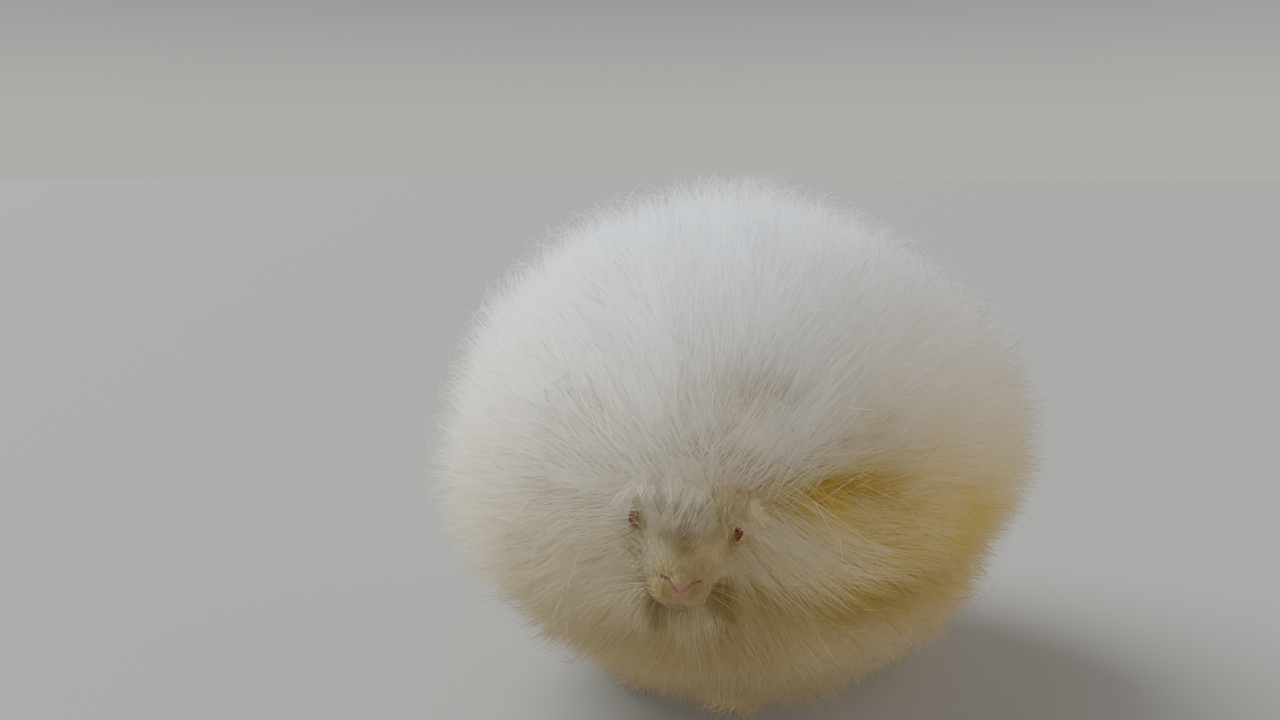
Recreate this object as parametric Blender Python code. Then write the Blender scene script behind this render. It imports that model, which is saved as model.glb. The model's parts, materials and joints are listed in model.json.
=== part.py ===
# Angora rabbit resting in a full blown-out coat, as a still life-size model.
# Metres, +Z up. The rabbit's body lies along Y with its rump at +Y, and its head is turned to its own left.
# The floor is at Z = 0, and the origin is under the middle of the coat.

import math

import bmesh
import bpy
import numpy as np
from mathutils import Matrix, Vector
from mathutils.bvhtree import BVHTree

GAP = 0.0003                # clearance between parts that touch
SEED = 11                   # for the coat's small variations
COAT_FLOOR = 0.0035         # level that the longest wool under the body reaches
TRIM_LEVEL = 0.0015         # no wool goes lower than this
CUTTER_REACH = 0.34         # cutters end outside the whole coat

# Coat outline, as the union of four rounded lobes: centre and half sizes
BACK_LOBE = ((0.000, -0.034, 0.183), (0.203, 0.190, 0.179))
RUMP_LOBE = ((0.001, 0.083, 0.170), (0.192, 0.152, 0.152))
RUFF_LOBE = ((0.002, -0.130, 0.160), (0.168, 0.100, 0.118))
SKIRT_LOBE = ((-0.018, 0.050, 0.080), (0.182, 0.150, 0.095))
COAT_LOBES = (BACK_LOBE, RUMP_LOBE, RUFF_LOBE, SKIRT_LOBE)
COAT_CENTRE = Vector((0.0, 0.0, 0.150))
LOBE_BLEND = 0.008          # softness of the joins between lobes

# Wool cores, at most half way from the skin to the tips
TORSO_CENTRE = Vector((0.0, 0.004, 0.146))
TORSO_RADII = (0.122, 0.166, 0.113)
NECK_CENTRE = Vector((0.006, -0.088, 0.152))
NECK_RADII = (0.094, 0.080, 0.090)
BODY_LINE = (Vector((0.0, -0.050, 0.135)), Vector((0.0, 0.080, 0.125)))

# Shoulder plane, which parts the torso from the neck ruff
SHOULDER_POINT = Vector((0.0, -0.088, 0.150))
SHOULDER_YAW = math.radians(15)

# Head frame: the middle of the skull's back face, turned, tipped and rolled
HEAD_BACK = Vector((0.025, -0.123, 0.165))
HEAD_YAW = math.radians(30)
HEAD_PITCH = math.radians(16)
HEAD_ROLL = math.radians(8)
HEAD_LENGTH = 0.107
HEAD_SIDES = 28

# Head sections: share of the length, then half width, height and depth from the axis
HEAD_SECTIONS = (
    (0.00, 0.0285, 0.0285, 0.0290),
    (0.18, 0.0355, 0.0355, 0.0370),
    (0.38, 0.0375, 0.0370, 0.0385),
    (0.53, 0.0340, 0.0350, 0.0355),
    (0.66, 0.0275, 0.0295, 0.0300),
    (0.78, 0.0205, 0.0225, 0.0245),
    (0.88, 0.0160, 0.0165, 0.0200),
    (0.95, 0.0115, 0.0115, 0.0150),
)

# Places on the head: forward, to its left, and up
EYE_PLACE = (0.057, 0.0265, 0.0135)
EYE_RADIUS = 0.0082
EYE_LOOK = (0.32, 0.93, 0.16)
LID_RADIUS = 0.0018
LID_STEPS, LID_SIDES = 16, 5
WHISKER_PAD = ((0.0930, 0.0078, -0.0050), (0.0135, 0.0090, 0.0100))
NOSE_PAD = ((0.1010, 0.0, 0.0040), (0.0068, 0.0068, 0.0058))
CHIN_PAD = ((0.0860, 0.0, -0.0170), (0.0135, 0.0095, 0.0070))

# Grooves of the face: places on the rabbit's left, and the groove's radius
NOSTRIL_GROOVE = (((0.1085, 0.0012, 0.0010), (0.1070, 0.0040, 0.0042), (0.1030, 0.0068, 0.0062)), 0.0010)
MOUTH_GROOVE = (((0.1060, 0.0, -0.0130), (0.1010, 0.0075, -0.0148), (0.0900, 0.0140, -0.0145),
                 (0.0780, 0.0190, -0.0120)), 0.0011)
CLEFT_GROOVE = (((0.1085, 0.0, 0.0015), (0.1075, 0.0, -0.0060), (0.1060, 0.0, -0.0135)), 0.0009)

# Cones about the head's axis: the head's wool stays in the wide one, the ears clear of the narrow one
CONE_SETBACK = 0.040
HEAD_CONE = math.radians(37)
FACE_CONE = math.radians(24)

EAR_ROOT = (0.019, 0.0235, 0.0235)
EAR_LEAN = (-0.06, 0.78, 0.62)
EAR_LENGTH = 0.092
EAR_WIDTH = 0.040
EAR_THICKNESS = 0.0032
EAR_DROOP = 0.010           # how far the tip hangs below a straight ear
EAR_SHARES = (0.0, 0.14, 0.32, 0.50, 0.68, 0.83, 0.94)
EAR_LEAN_SHARE = 0.12       # lean and width of the locks on the ears
EAR_LOCK_WIDTH = 0.034
EAR_SECTOR = (math.radians(20), math.radians(62))
EAR_BACK = -0.006           # the ears and their fringes stay in front of this place on the head's axis

# Locks along the rims of an ear, by turns on each side: number, first place, step, width and thickness
FRINGE_COUNT = 6
FRINGE_START = 0.40
FRINGE_STEP = 0.11
FRINGE_WIDTH = 0.026
FRINGE_THICKNESS = 0.0050

TAIL_APEX = Vector((0.0, 0.060, 0.120))
TAIL_TILT = math.radians(16)
TAIL_CONE = math.radians(15)
TAIL_START = 0.105
TAIL_REACH = 0.048
TAIL_SHARES = (0.0, 0.3, 0.6, 0.85, 0.97)
TAIL_SIDES = 16
TAIL_RINGS = ((1, 0.0), (6, 0.75))  # locks in each ring, and how far the ring opens
TAIL_LOCK_WIDTH = 0.025

FORELEG = {"side": 0.034, "front": -0.086, "back": -0.014, "half_width": 0.0150, "top": 0.022,
           "upper_centre": (-0.028, 0.048), "upper_radii": (0.018, 0.024, 0.036), "toe_spread": 0.0074}
HINDLEG = {"side": 0.054, "front": -0.006, "back": 0.106, "half_width": 0.0170, "top": 0.026,
           "upper_centre": (0.070, 0.060), "upper_radii": (0.032, 0.058, 0.048), "toe_spread": 0.0088}

# Foot sections: share of the length from the toes, then width and height against the widest
FOOT_SECTIONS = ((0.00, 0.58, 0.55), (0.07, 0.88, 0.82), (0.24, 1.00, 1.00), (0.60, 0.92, 0.96),
                 (0.90, 0.84, 0.88), (1.00, 0.58, 0.62))
FOOT_SIDES = 12

# Grooves between the toes: distance behind the toes and share of the foot's height, and the groove's radius
TOE_GROOVE = ((-0.006, 0.50), (0.003, 0.84), (0.014, 1.03))
TOE_GROOVE_RADIUS = 0.0011

# The forelock's rows: number of locks, where they root and end, their height, fan and arch
BANG_ROWS = (
    (6, 0.030, 0.091, 0.025, math.radians(36), 0.30),
    (5, 0.014, 0.070, 0.062, math.radians(26), 0.35),
)
BANG_ROOT = 0.033           # distance of their roots from the head's axis
BANG_WIDTH = 0.024
BANG_THICKNESS = 0.0050

# The mane's rows: locks in a full ring, their cone about the head's axis, where they root, and a turn
MANE_ROWS = ((13, math.radians(23), 0.046, 0.5), (11, math.radians(33), 0.020, 0.0))
MANE_AIM = 0.14             # distance from the cone's tip at which a lock's direction meets the coat
MANE_ROOT = 0.034           # distance of their roots from the head's axis
MANE_WIDTH = 0.033

LOCK_COUNT = 186            # spread evenly over the whole ball, before bare places are left out
LOCK_WIDTH = 0.043
LOCK_THICKNESS = 0.0060
LOCK_RINGS = ((0.00, 0.32, 0.90), (0.38, 1.00, 1.00), (0.64, 0.74, 0.72), (0.85, 0.34, 0.40))
LOCK_BEND = 0.55            # share of the length at which a lock turns from its root's direction to its tip
ROOT_SINK = 0.012
LIE_LEAN = 0.40             # how far a lock's tip leans along the lie of the coat
DRAPE_LEVEL = 0.140         # the wool hangs fully above this height, and less towards the floor
SHOULDER_EASE = 0.055       # distance from the shoulder plane over which the lean sets in
UNDERSIDE = -0.90           # directions steeper than this grow no locks

WOOL_COLOUR = (0.90, 0.87, 0.80, 1.0)
FACE_COLOUR = (0.90, 0.83, 0.76, 1.0)
EAR_COLOUR = (0.89, 0.80, 0.74, 1.0)
PAW_COLOUR = (0.88, 0.82, 0.72, 1.0)
EYE_COLOUR = (0.32, 0.03, 0.04, 1.0)


def clear_scene():
    for obj in list(bpy.data.objects):
        bpy.data.objects.remove(obj)


def new_collection(name):
    collection = bpy.data.collections.new(name)
    bpy.context.scene.collection.children.link(collection)
    return collection


def new_material(name, colour, roughness):
    material = bpy.data.materials.new(name)
    material.use_nodes = True
    shader = material.node_tree.nodes["Principled BSDF"]
    shader.inputs["Base Color"].default_value = colour
    shader.inputs["Roughness"].default_value = roughness
    shader.inputs["Metallic"].default_value = 0.0
    return material


def set_material(obj, material):
    obj.data.materials.clear()
    obj.data.materials.append(material)


# The head's frame and the planes and cones that part the nodes

def head_axes():
    level_left = Vector((math.cos(HEAD_YAW), math.sin(HEAD_YAW), 0.0))
    forward = Vector((
        math.sin(HEAD_YAW) * math.cos(HEAD_PITCH),
        -math.cos(HEAD_YAW) * math.cos(HEAD_PITCH),
        -math.sin(HEAD_PITCH),
    ))
    level_up = forward.cross(level_left)
    left = level_left * math.cos(HEAD_ROLL) - level_up * math.sin(HEAD_ROLL)
    return forward, left, forward.cross(left)


FORWARD, LEFT, UPWARD = head_axes()
CONE_TIP = HEAD_BACK - FORWARD * CONE_SETBACK
SHOULDER_NORMAL = Vector((math.sin(SHOULDER_YAW), -math.cos(SHOULDER_YAW), 0.0))
TAIL_AXIS = Vector((0.0, math.cos(TAIL_TILT), math.sin(TAIL_TILT)))


def head_vector(forward, left, up):
    return FORWARD * forward + LEFT * left + UPWARD * up


def head_point(forward, left, up):
    return HEAD_BACK + head_vector(forward, left, up)


def mirrored(place, side):
    return place[0], place[1] * side, place[2]


def along_head(point):
    return (point - HEAD_BACK).dot(FORWARD)


def shoulder_face(forward):
    # a point on the shoulder plane moved forward by this much
    return SHOULDER_POINT + SHOULDER_NORMAL * forward


def shoulder_distance(point):
    return (point - SHOULDER_POINT).dot(SHOULDER_NORMAL)


def cone_angle(point, tip, axis):
    return (point - tip).angle(axis)


def face_azimuth(point):
    # angle round the head's axis: 0 on the rabbit's left, 90 degrees above
    arm = point - CONE_TIP
    return math.atan2(arm.dot(UPWARD), arm.dot(LEFT))


def ear_side(point):
    # 1 or -1 where a point lies in the left or right ear's space, and otherwise 0
    if along_head(point) < EAR_BACK or cone_angle(point, CONE_TIP, FORWARD) < FACE_CONE:
        return 0
    turn = face_azimuth(point)
    if EAR_SECTOR[0] < turn < EAR_SECTOR[1]:
        return 1
    if EAR_SECTOR[0] < math.pi - turn < EAR_SECTOR[1]:
        return -1
    return 0


def zone_of(point):
    if cone_angle(point, TAIL_APEX, TAIL_AXIS) < TAIL_CONE:
        return "tail"
    if shoulder_distance(point) < 0:
        return "torso"
    side = ear_side(point)
    if side:
        return "ear_left" if side > 0 else "ear_right"
    if cone_angle(point, CONE_TIP, FORWARD) < HEAD_CONE:
        return "head"
    return "neck"


# The coat's outline

def coat_reach(direction):
    # distance from the coat's centre to its outline, a soft maximum over the lobes
    reaches = []
    for centre, radii in COAT_LOBES:
        offset = [(COAT_CENTRE[i] - centre[i]) / radii[i] for i in range(3)]
        slope = [direction[i] / radii[i] for i in range(3)]
        a = sum(s * s for s in slope)
        b = 2 * sum(s * o for s, o in zip(slope, offset))
        c = sum(o * o for o in offset) - 1
        reaches.append((-b + math.sqrt(max(b * b - 4 * a * c, 0.0))) / (2 * a))
    longest = max(reaches)
    soft = longest + LOBE_BLEND * math.log(sum(math.exp((r - longest) / LOBE_BLEND) for r in reaches))
    if direction.z < 0:
        soft = min(soft, (COAT_CENTRE.z - COAT_FLOOR) / -direction.z)
    return soft


def coat_point(direction):
    return COAT_CENTRE + direction * coat_reach(direction)


def even_directions(count):
    golden = math.pi * (3 - math.sqrt(5))
    for i in range(count):
        z = 1 - 2 * (i + 0.5) / count
        flat = math.sqrt(1 - z * z)
        yield Vector((flat * math.cos(golden * i), flat * math.sin(golden * i), z))


# Meshes

def link_mesh(name, shape, collection):
    bmesh.ops.triangulate(shape, faces=shape.faces)
    bmesh.ops.recalc_face_normals(shape, faces=shape.faces)
    mesh = bpy.data.meshes.new(name)
    shape.to_mesh(mesh)
    shape.free()
    mesh.shade_smooth()
    obj = bpy.data.objects.new(name, mesh)
    collection.objects.link(obj)
    return obj


def add_loft(name, rings, collection, tip=None):
    # skins rings of equal count, closed by a flat start and by a flat end or a tip
    shape = bmesh.new()
    rows = [[shape.verts.new(point) for point in ring] for ring in rings]
    for row, following in zip(rows, rows[1:]):
        for i in range(len(row)):
            j = (i + 1) % len(row)
            shape.faces.new((row[i], row[j], following[j], following[i]))
    shape.faces.new(rows[0][::-1])
    if tip is None:
        shape.faces.new(rows[-1])
    else:
        top = shape.verts.new(tip)
        for i in range(len(rows[-1])):
            shape.faces.new((rows[-1][i], rows[-1][(i + 1) % len(rows[-1])], top))
    return link_mesh(name, shape, collection)


def add_ellipsoid(name, centre, radii, collection, around=24, up=14, frame=None):
    # frame holds the unit vectors that the half sizes lie along
    axes = frame or (Vector((1, 0, 0)), Vector((0, 1, 0)), Vector((0, 0, 1)))
    shape = bmesh.new()
    bmesh.ops.create_uvsphere(shape, u_segments=around, v_segments=up, radius=1.0)
    for vertex in shape.verts:
        scaled = [vertex.co[i] * radii[i] for i in range(3)]
        vertex.co = centre + sum((axes[i] * scaled[i] for i in range(3)), Vector())
    return link_mesh(name, shape, collection)


def add_frustum(name, tip, axis, half_angle, start, end, collection, sides=48):
    # the part of a cone between two distances from its tip
    shape = bmesh.new()
    slope = math.tan(half_angle)
    turn = axis.to_track_quat("Z", "Y").to_matrix().to_4x4()
    place = Matrix.Translation(tip + axis * (start + end) / 2) @ turn
    bmesh.ops.create_cone(shape, cap_ends=True, segments=sides, radius1=start * slope, radius2=end * slope,
                          depth=end - start, matrix=place)
    return link_mesh(name, shape, collection)


def add_half_space(name, point, normal, collection, size=0.7):
    # a large box on the side of the point that the normal leads to
    shape = bmesh.new()
    turn = normal.to_track_quat("Z", "Y").to_matrix().to_4x4()
    place = Matrix.Translation(point + normal.normalized() * size / 2) @ turn
    bmesh.ops.create_cube(shape, size=size, matrix=place)
    return link_mesh(name, shape, collection)


def add_bar(name, points, radius, collection, sides=6):
    # a thin round bar through the points
    curve = bpy.data.curves.new(name, "CURVE")
    curve.dimensions = "3D"
    spline = curve.splines.new("POLY")
    spline.points.add(len(points) - 1)
    for slot, point in zip(spline.points, points):
        slot.co = (*point, 1.0)
    curve.bevel_depth = radius
    curve.bevel_resolution = (sides - 4) // 2
    curve.use_fill_caps = True
    guide = bpy.data.objects.new(name + "_guide", curve)
    collection.objects.link(guide)
    bpy.context.view_layer.update()
    evaluated = guide.evaluated_get(bpy.context.evaluated_depsgraph_get())
    shape = bmesh.new()
    shape.from_mesh(bpy.data.meshes.new_from_object(evaluated))
    bmesh.ops.remove_doubles(shape, verts=shape.verts, dist=radius * 0.02)
    bpy.data.objects.remove(guide)
    return link_mesh(name, shape, collection)


def boolean(obj, operation, target):
    # target is one object, or a collection whose objects all take part
    modifier = obj.modifiers.new(operation.lower(), "BOOLEAN")
    modifier.operation = operation
    modifier.solver = "MANIFOLD"
    if isinstance(target, bpy.types.Collection):
        modifier.operand_type = "COLLECTION"
        modifier.collection = target
    else:
        modifier.object = target
    bpy.context.view_layer.update()
    evaluated = obj.evaluated_get(bpy.context.evaluated_depsgraph_get())
    mesh = bpy.data.meshes.new_from_object(evaluated)
    obj.modifiers.clear()
    obj.data = mesh


def boolean_all(obj, operation, pieces):
    # applies every object of the collection, then removes them and it
    if pieces.objects:
        boolean(obj, operation, pieces)
    for piece in list(pieces.objects):
        bpy.data.objects.remove(piece)
    bpy.data.collections.remove(pieces)


def surface_volume(faces):
    total = 0.0
    for face in faces:
        a, b, c = (corner.vert.co for corner in face.loops)
        total += a.dot(b.cross(c))
    return abs(total) / 6


def keep_largest(obj):
    # leaves one closed surface: loose scraps and sealed hollows go
    shape = bmesh.new()
    shape.from_mesh(obj.data)
    bmesh.ops.triangulate(shape, faces=shape.faces)
    unseen = set(shape.faces)
    groups = []
    while unseen:
        stack = [unseen.pop()]
        group = []
        while stack:
            face = stack.pop()
            group.append(face)
            for edge in face.edges:
                fresh = [other for other in edge.link_faces if other in unseen]
                unseen.difference_update(fresh)
                stack.extend(fresh)
        groups.append(group)
    groups.sort(key=surface_volume)
    for group in groups[:-1]:
        bmesh.ops.delete(shape, geom=group, context="FACES")
    bmesh.ops.delete(shape, geom=[v for v in shape.verts if not v.link_faces], context="VERTS")
    shape.to_mesh(obj.data)
    shape.free()
    obj.data.shade_smooth()


# Cutters along the borders of the nodes

def add_head_cone(name, half_angle, margin, collection, start=0.0):
    # the cone about the head's axis, grown by the margin
    tip = CONE_TIP - FORWARD * margin / math.sin(half_angle)
    return add_frustum(name, tip, FORWARD, half_angle, start + margin / math.sin(half_angle), CUTTER_REACH,
                       collection)


def add_ear_wedge(name, side, margin, collection, size=0.5):
    # the sector that holds one ear and its fringe, grown by the margin
    low, high = EAR_SECTOR
    middle = (low + high) / 2
    inset = margin / math.sin((high - low) / 2)
    ridge = head_vector(0, -math.cos(middle) * inset * side, -math.sin(middle) * inset)
    arms = [head_vector(0, math.cos(turn) * side, math.sin(turn)) * size for turn in (low, high)]
    rings = []
    for place in (EAR_BACK - margin, CUTTER_REACH):
        corner = HEAD_BACK + FORWARD * place + ridge
        rings.append([corner, corner + arms[0], corner + arms[1]])
    wedge = add_loft(name, rings, collection)
    narrow = add_head_cone(name + "_face", FACE_CONE, -margin, collection)
    boolean(wedge, "DIFFERENCE", narrow)
    return wedge


# Locks of wool

def add_lock(name, root, outward, tip, side, width, thickness, collection):
    # a flat tapered lock on a bent line, widest near its first third, with a ridge along its outer face
    length = (tip - root).length
    start = root - outward * ROOT_SINK
    bend = root + outward * length * LOCK_BEND
    rings = []
    for share, wide, thick in LOCK_RINGS:
        first, second = start.lerp(bend, share), bend.lerp(tip, share)
        centre = first.lerp(second, share)
        along = (second - first).normalized()
        across = (side - along * side.dot(along)).normalized()
        half = across * width * wide / 2
        deep = along.cross(across) * thickness * thick
        if deep.dot(side.cross(outward)) < 0:
            deep = -deep
        rings.append([centre + half, centre + deep, centre - half])
    return add_loft(name, rings, collection, tip)


def lie_of_coat(point):
    # backward over the body, outward round the face, and downward on the flanks
    from_face = (point - head_point(HEAD_LENGTH * 0.6, 0, 0)).normalized()
    drape = -0.42 * min(1.0, max(0.0, point.z / DRAPE_LEVEL))
    return Vector((0, 0.35, drape)) + from_face * 0.65


def tree_of(obj):
    shape = bmesh.new()
    shape.from_mesh(obj.data)
    tree = BVHTree.FromBMesh(shape)
    shape.free()
    return tree


def nearest_on_line(point, start, end):
    line = end - start
    if line.length_squared == 0:
        return start
    share = max(0.0, min(1.0, (point - start).dot(line) / line.length_squared))
    return start + line * share


class Coat:
    """Even places for locks over the whole animal, each with its own small variations."""

    def __init__(self):
        draws = np.random.RandomState(SEED).random_sample((LOCK_COUNT, 4)) * 2 - 1
        self.places = []
        for direction, draw in zip(even_directions(LOCK_COUNT), draws):
            point = coat_point(direction)
            if direction.z > UNDERSIDE:
                self.places.append((zone_of(point), direction, point, draw))

    def grow(self, core, zone, inner_line, lean=LIE_LEAN, width=LOCK_WIDTH):
        # roots the zone's locks on the core, and joins them to it
        tree = tree_of(core)
        pieces = new_collection(zone + "_locks")
        for number, (home, direction, point, draw) in enumerate(self.places):
            if home != zone:
                continue
            inner = nearest_on_line(point, *inner_line)
            root, normal = tree.ray_cast(point, (inner - point).normalized())[:2]
            if root is None:
                continue
            radial = (point - root).normalized()
            lie = lie_of_coat(point)
            lie = lie - direction * lie.dot(direction)
            ease = min(1.0, abs(shoulder_distance(point)) / SHOULDER_EASE)
            leaning = (direction + lie * lean * ease * (1 + 0.35 * draw[0])).normalized()
            tip = root + (coat_point(leaning) - root) * (1 + 0.05 * draw[1])
            side = radial.cross(lie).normalized()
            side = side + radial.cross(side) * 0.5 * draw[2]
            outward = (normal + radial).normalized()
            add_lock(f"{zone}_lock_{number}", root, outward, tip, side.normalized(),
                     width * (1 + 0.18 * draw[3]), LOCK_THICKNESS, pieces)
        boolean_all(core, "UNION", pieces)


# Torso

def build_torso(coat, parts, cutters, legs_room):
    torso = add_ellipsoid("torso", TORSO_CENTRE, TORSO_RADII, parts, 24, 14)
    coat.grow(torso, "torso", BODY_LINE)
    front = add_half_space("torso_front", shoulder_face(-GAP / 2), SHOULDER_NORMAL, cutters)
    below = add_half_space("torso_below", Vector((0, 0, TRIM_LEVEL)), Vector((0, 0, -1)), cutters)
    inset = GAP / math.sin(TAIL_CONE)
    tail = add_frustum("torso_tail", TAIL_APEX - TAIL_AXIS * inset, TAIL_AXIS, TAIL_CONE,
                       TAIL_START + inset, CUTTER_REACH, cutters)
    for cutter in (front, below, tail, *legs_room):
        boolean(torso, "DIFFERENCE", cutter)
    keep_largest(torso)
    return torso


def build_tail(coat, parts, cutters):
    # a short upturned tail: a rounded core whose base meets the rump, with locks out to the coat's outline
    slope = math.tan(TAIL_CONE)
    across = Vector((1, 0, 0))
    over = across.cross(TAIL_AXIS)
    start = TAIL_START + GAP
    rings = []
    for share in TAIL_SHARES:
        reach = start + TAIL_REACH * share
        radius = (start * slope - GAP) * math.sqrt(1 - share ** 2.2)
        rings.append([
            TAIL_APEX + TAIL_AXIS * reach
            + (across * math.cos(turn) + over * math.sin(turn)) * radius
            for turn in (math.tau * i / TAIL_SIDES for i in range(TAIL_SIDES))
        ])
    tail = add_loft("tail", rings, parts, TAIL_APEX + TAIL_AXIS * (start + TAIL_REACH))
    root = TAIL_APEX + TAIL_AXIS * (start + 0.004)
    pieces = new_collection("tail_locks")
    for ring, (count, open_angle) in enumerate(TAIL_RINGS):
        for i in range(count):
            turn = math.tau * (i + 0.5 * ring) / count
            aim = TAIL_AXIS + (across * math.cos(turn) + over * math.sin(turn)) * slope * open_angle * 1.15
            tip = coat_point((TAIL_APEX + aim.normalized() * 0.2 - COAT_CENTRE).normalized())
            base = root + (aim - TAIL_AXIS) * start * 0.75 + TAIL_AXIS * (0.022 * (1 - ring))
            side = TAIL_AXIS.cross(aim - TAIL_AXIS) if ring else across
            add_lock(f"tail_lock_{ring}_{i}", base, TAIL_AXIS, tip, side.normalized(), TAIL_LOCK_WIDTH,
                     LOCK_THICKNESS, pieces)
    boolean_all(tail, "UNION", pieces)
    room = add_frustum("tail_room", TAIL_APEX, TAIL_AXIS, TAIL_CONE, TAIL_START + GAP, CUTTER_REACH, cutters)
    boolean(tail, "INTERSECT", room)
    keep_largest(tail)
    return tail


# Neck

def build_neck(coat, parts, cutters, legs_room):
    neck = add_ellipsoid("neck", NECK_CENTRE, NECK_RADII, parts, 24, 12)
    coat.grow(neck, "neck", (NECK_CENTRE, NECK_CENTRE), lean=LIE_LEAN * 0.6)
    behind = add_half_space("neck_behind", shoulder_face(GAP / 2), -SHOULDER_NORMAL, cutters)
    below = add_half_space("neck_below", Vector((0, 0, TRIM_LEVEL)), Vector((0, 0, -1)), cutters)
    head = add_head_cone("neck_head", HEAD_CONE, GAP, cutters, CONE_SETBACK - GAP)
    ears = [add_ear_wedge(f"neck_ear_{side + 1}", side, GAP, cutters) for side in (1, -1)]
    for cutter in (behind, below, head, *ears, *legs_room):
        boolean(neck, "DIFFERENCE", cutter)
    keep_largest(neck)
    return neck


# Head

def add_head_form(name, margin, collection):
    # the skull and muzzle, grown by the margin
    rings = []
    for share, half_width, height, depth in HEAD_SECTIONS:
        ring = []
        for i in range(HEAD_SIDES):
            turn = math.tau * i / HEAD_SIDES
            side = math.cos(turn) * (half_width + margin)
            up = math.sin(turn) * ((height if math.sin(turn) > 0 else depth) + margin)
            ring.append(head_point(share * HEAD_LENGTH, side, up))
        rings.append(ring)
    return add_loft(name, rings, collection, head_point(HEAD_LENGTH, 0, -0.001))


def add_head_pad(name, pad, side, collection):
    place, radii = pad
    return add_ellipsoid(name, head_point(*mirrored(place, side)), radii, collection, 12, 8,
                         (FORWARD, LEFT, UPWARD))


def add_lids(name, side, collection):
    # an almond ring round the eye, higher above than below
    centre = head_point(*mirrored(EYE_PLACE, side))
    look = head_vector(*mirrored(EYE_LOOK, side)).normalized()
    level = (FORWARD - look * FORWARD.dot(look)).normalized()
    rise = look.cross(level) * side
    if rise.dot(UPWARD) < 0:
        rise = -rise
    rings = []
    for i in range(LID_STEPS):
        turn = math.tau * i / LID_STEPS
        spoke = level * math.cos(turn) * 1.12 + rise * math.sin(turn) * 0.90
        middle = centre + look * EYE_RADIUS * 0.42 + spoke * EYE_RADIUS * 0.98
        out = spoke.normalized()
        rings.append([
            middle + (out * math.cos(bend) + look * math.sin(bend)) * LID_RADIUS
            for bend in (math.tau * k / LID_SIDES for k in range(LID_SIDES))
        ])
    shape = bmesh.new()
    rows = [[shape.verts.new(point) for point in ring] for ring in rings]
    for i, row in enumerate(rows):
        following = rows[(i + 1) % len(rows)]
        for k in range(LID_SIDES):
            j = (k + 1) % LID_SIDES
            shape.faces.new((row[k], row[j], following[j], following[k]))
    return link_mesh(name, shape, collection)


def add_face_grooves(collection):
    # nostril slits, the cleft of the upper lip and the line of the mouth
    for side in (1, -1):
        for name, (places, radius) in (("nostril", NOSTRIL_GROOVE), ("mouth", MOUTH_GROOVE)):
            points = [head_point(*mirrored(place, side)) for place in places]
            add_bar(f"{name}_{side + 1}", points, radius, collection)
    places, radius = CLEFT_GROOVE
    add_bar("cleft", [head_point(*place) for place in places], radius, collection)


def add_head_lock(name, root, tip, lift, width, thickness, collection):
    # a lock on the head from two places in the head's frame, raised by the lift in its middle
    start, end = head_point(*root), head_point(*tip)
    rise = head_vector(0, root[1], root[2]).normalized()
    outward = ((end - start).normalized() + rise * lift).normalized()
    side = (end - start).cross(rise).normalized()
    add_lock(name, start, outward, end, side, width, thickness, collection)


def add_bangs(collection):
    # the forelock between the ears: a low row over the brow and a high row that stands over it
    for row, (count, back, far, high, spread, lift) in enumerate(BANG_ROWS):
        for i in range(count):
            turn = (i / (count - 1) - 0.5) * 2 * spread
            sway, rise = math.sin(turn), math.cos(turn)
            root = (back, BANG_ROOT * sway, BANG_ROOT * rise)
            tip = (far - 0.006 * (i % 2), (high + 0.012) * 1.25 * sway, high * rise + 0.004 * (i % 2))
            add_head_lock(f"bang_{row}_{i}", root, tip, lift, BANG_WIDTH, BANG_THICKNESS, collection)


def add_mane(collection):
    # rings of locks round the face: cheeks, jaw and the bib under the chin
    for row, (count, cone, back, shift) in enumerate(MANE_ROWS):
        for i in range(count):
            turn = math.radians(90) + math.tau * (i + shift) / count
            sway, rise = math.cos(turn), math.sin(turn)
            if rise > math.sin(EAR_SECTOR[0]):
                continue
            aim = (FORWARD + head_vector(0, sway, rise) * math.tan(cone)).normalized()
            tip = coat_point((CONE_TIP + aim * MANE_AIM - COAT_CENTRE).normalized())
            radius = MANE_ROOT - 0.25 * max(0.0, back - 0.04)
            root = head_point(back, radius * sway, radius * rise)
            spoke = head_vector(0, sway, rise)
            outward = ((tip - root).normalized() + spoke * 0.35 - FORWARD * 0.1).normalized()
            side = FORWARD.cross(spoke)
            add_lock(f"mane_{row}_{i}", root, outward, tip, side, MANE_WIDTH, LOCK_THICKNESS, collection)


def build_head(coat, parts, cutters):
    head = add_head_form("head", 0.0, parts)
    forms = new_collection("head_forms")
    for side in (1, -1):
        add_head_pad(f"whisker_pad_{side + 1}", WHISKER_PAD, side, forms)
        add_lids(f"lids_{side + 1}", side, forms)
    add_head_pad("nose_pad", NOSE_PAD, 0, forms)
    add_head_pad("chin_pad", CHIN_PAD, 0, forms)
    boolean_all(head, "UNION", forms)

    fringed = add_head_form("fringed", -0.001, cutters)
    face_wool = new_collection("face_wool")
    add_bangs(face_wool)
    add_mane(face_wool)
    boolean_all(fringed, "UNION", face_wool)
    room = add_head_cone("head_room", HEAD_CONE, 0.0, cutters, CONE_SETBACK)
    ears = [add_ear_wedge(f"head_ear_{side + 1}", side, 0.0, cutters) for side in (1, -1)]
    boolean(fringed, "INTERSECT", room)
    for cutter in ears:
        boolean(fringed, "DIFFERENCE", cutter)
    boolean(head, "UNION", fringed)
    bpy.data.objects.remove(fringed)

    hollows = new_collection("face_hollows")
    add_face_grooves(hollows)
    for side in (1, -1):
        add_ellipsoid(f"socket_{side + 1}", head_point(*mirrored(EYE_PLACE, side)),
                      (EYE_RADIUS + GAP,) * 3, hollows, 16, 10)
    boolean_all(head, "DIFFERENCE", hollows)
    keep_largest(head)
    return head


def build_eye(name, side, parts):
    return add_ellipsoid(name, head_point(*mirrored(EYE_PLACE, side)), (EYE_RADIUS,) * 3, parts, 16, 10)


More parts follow.
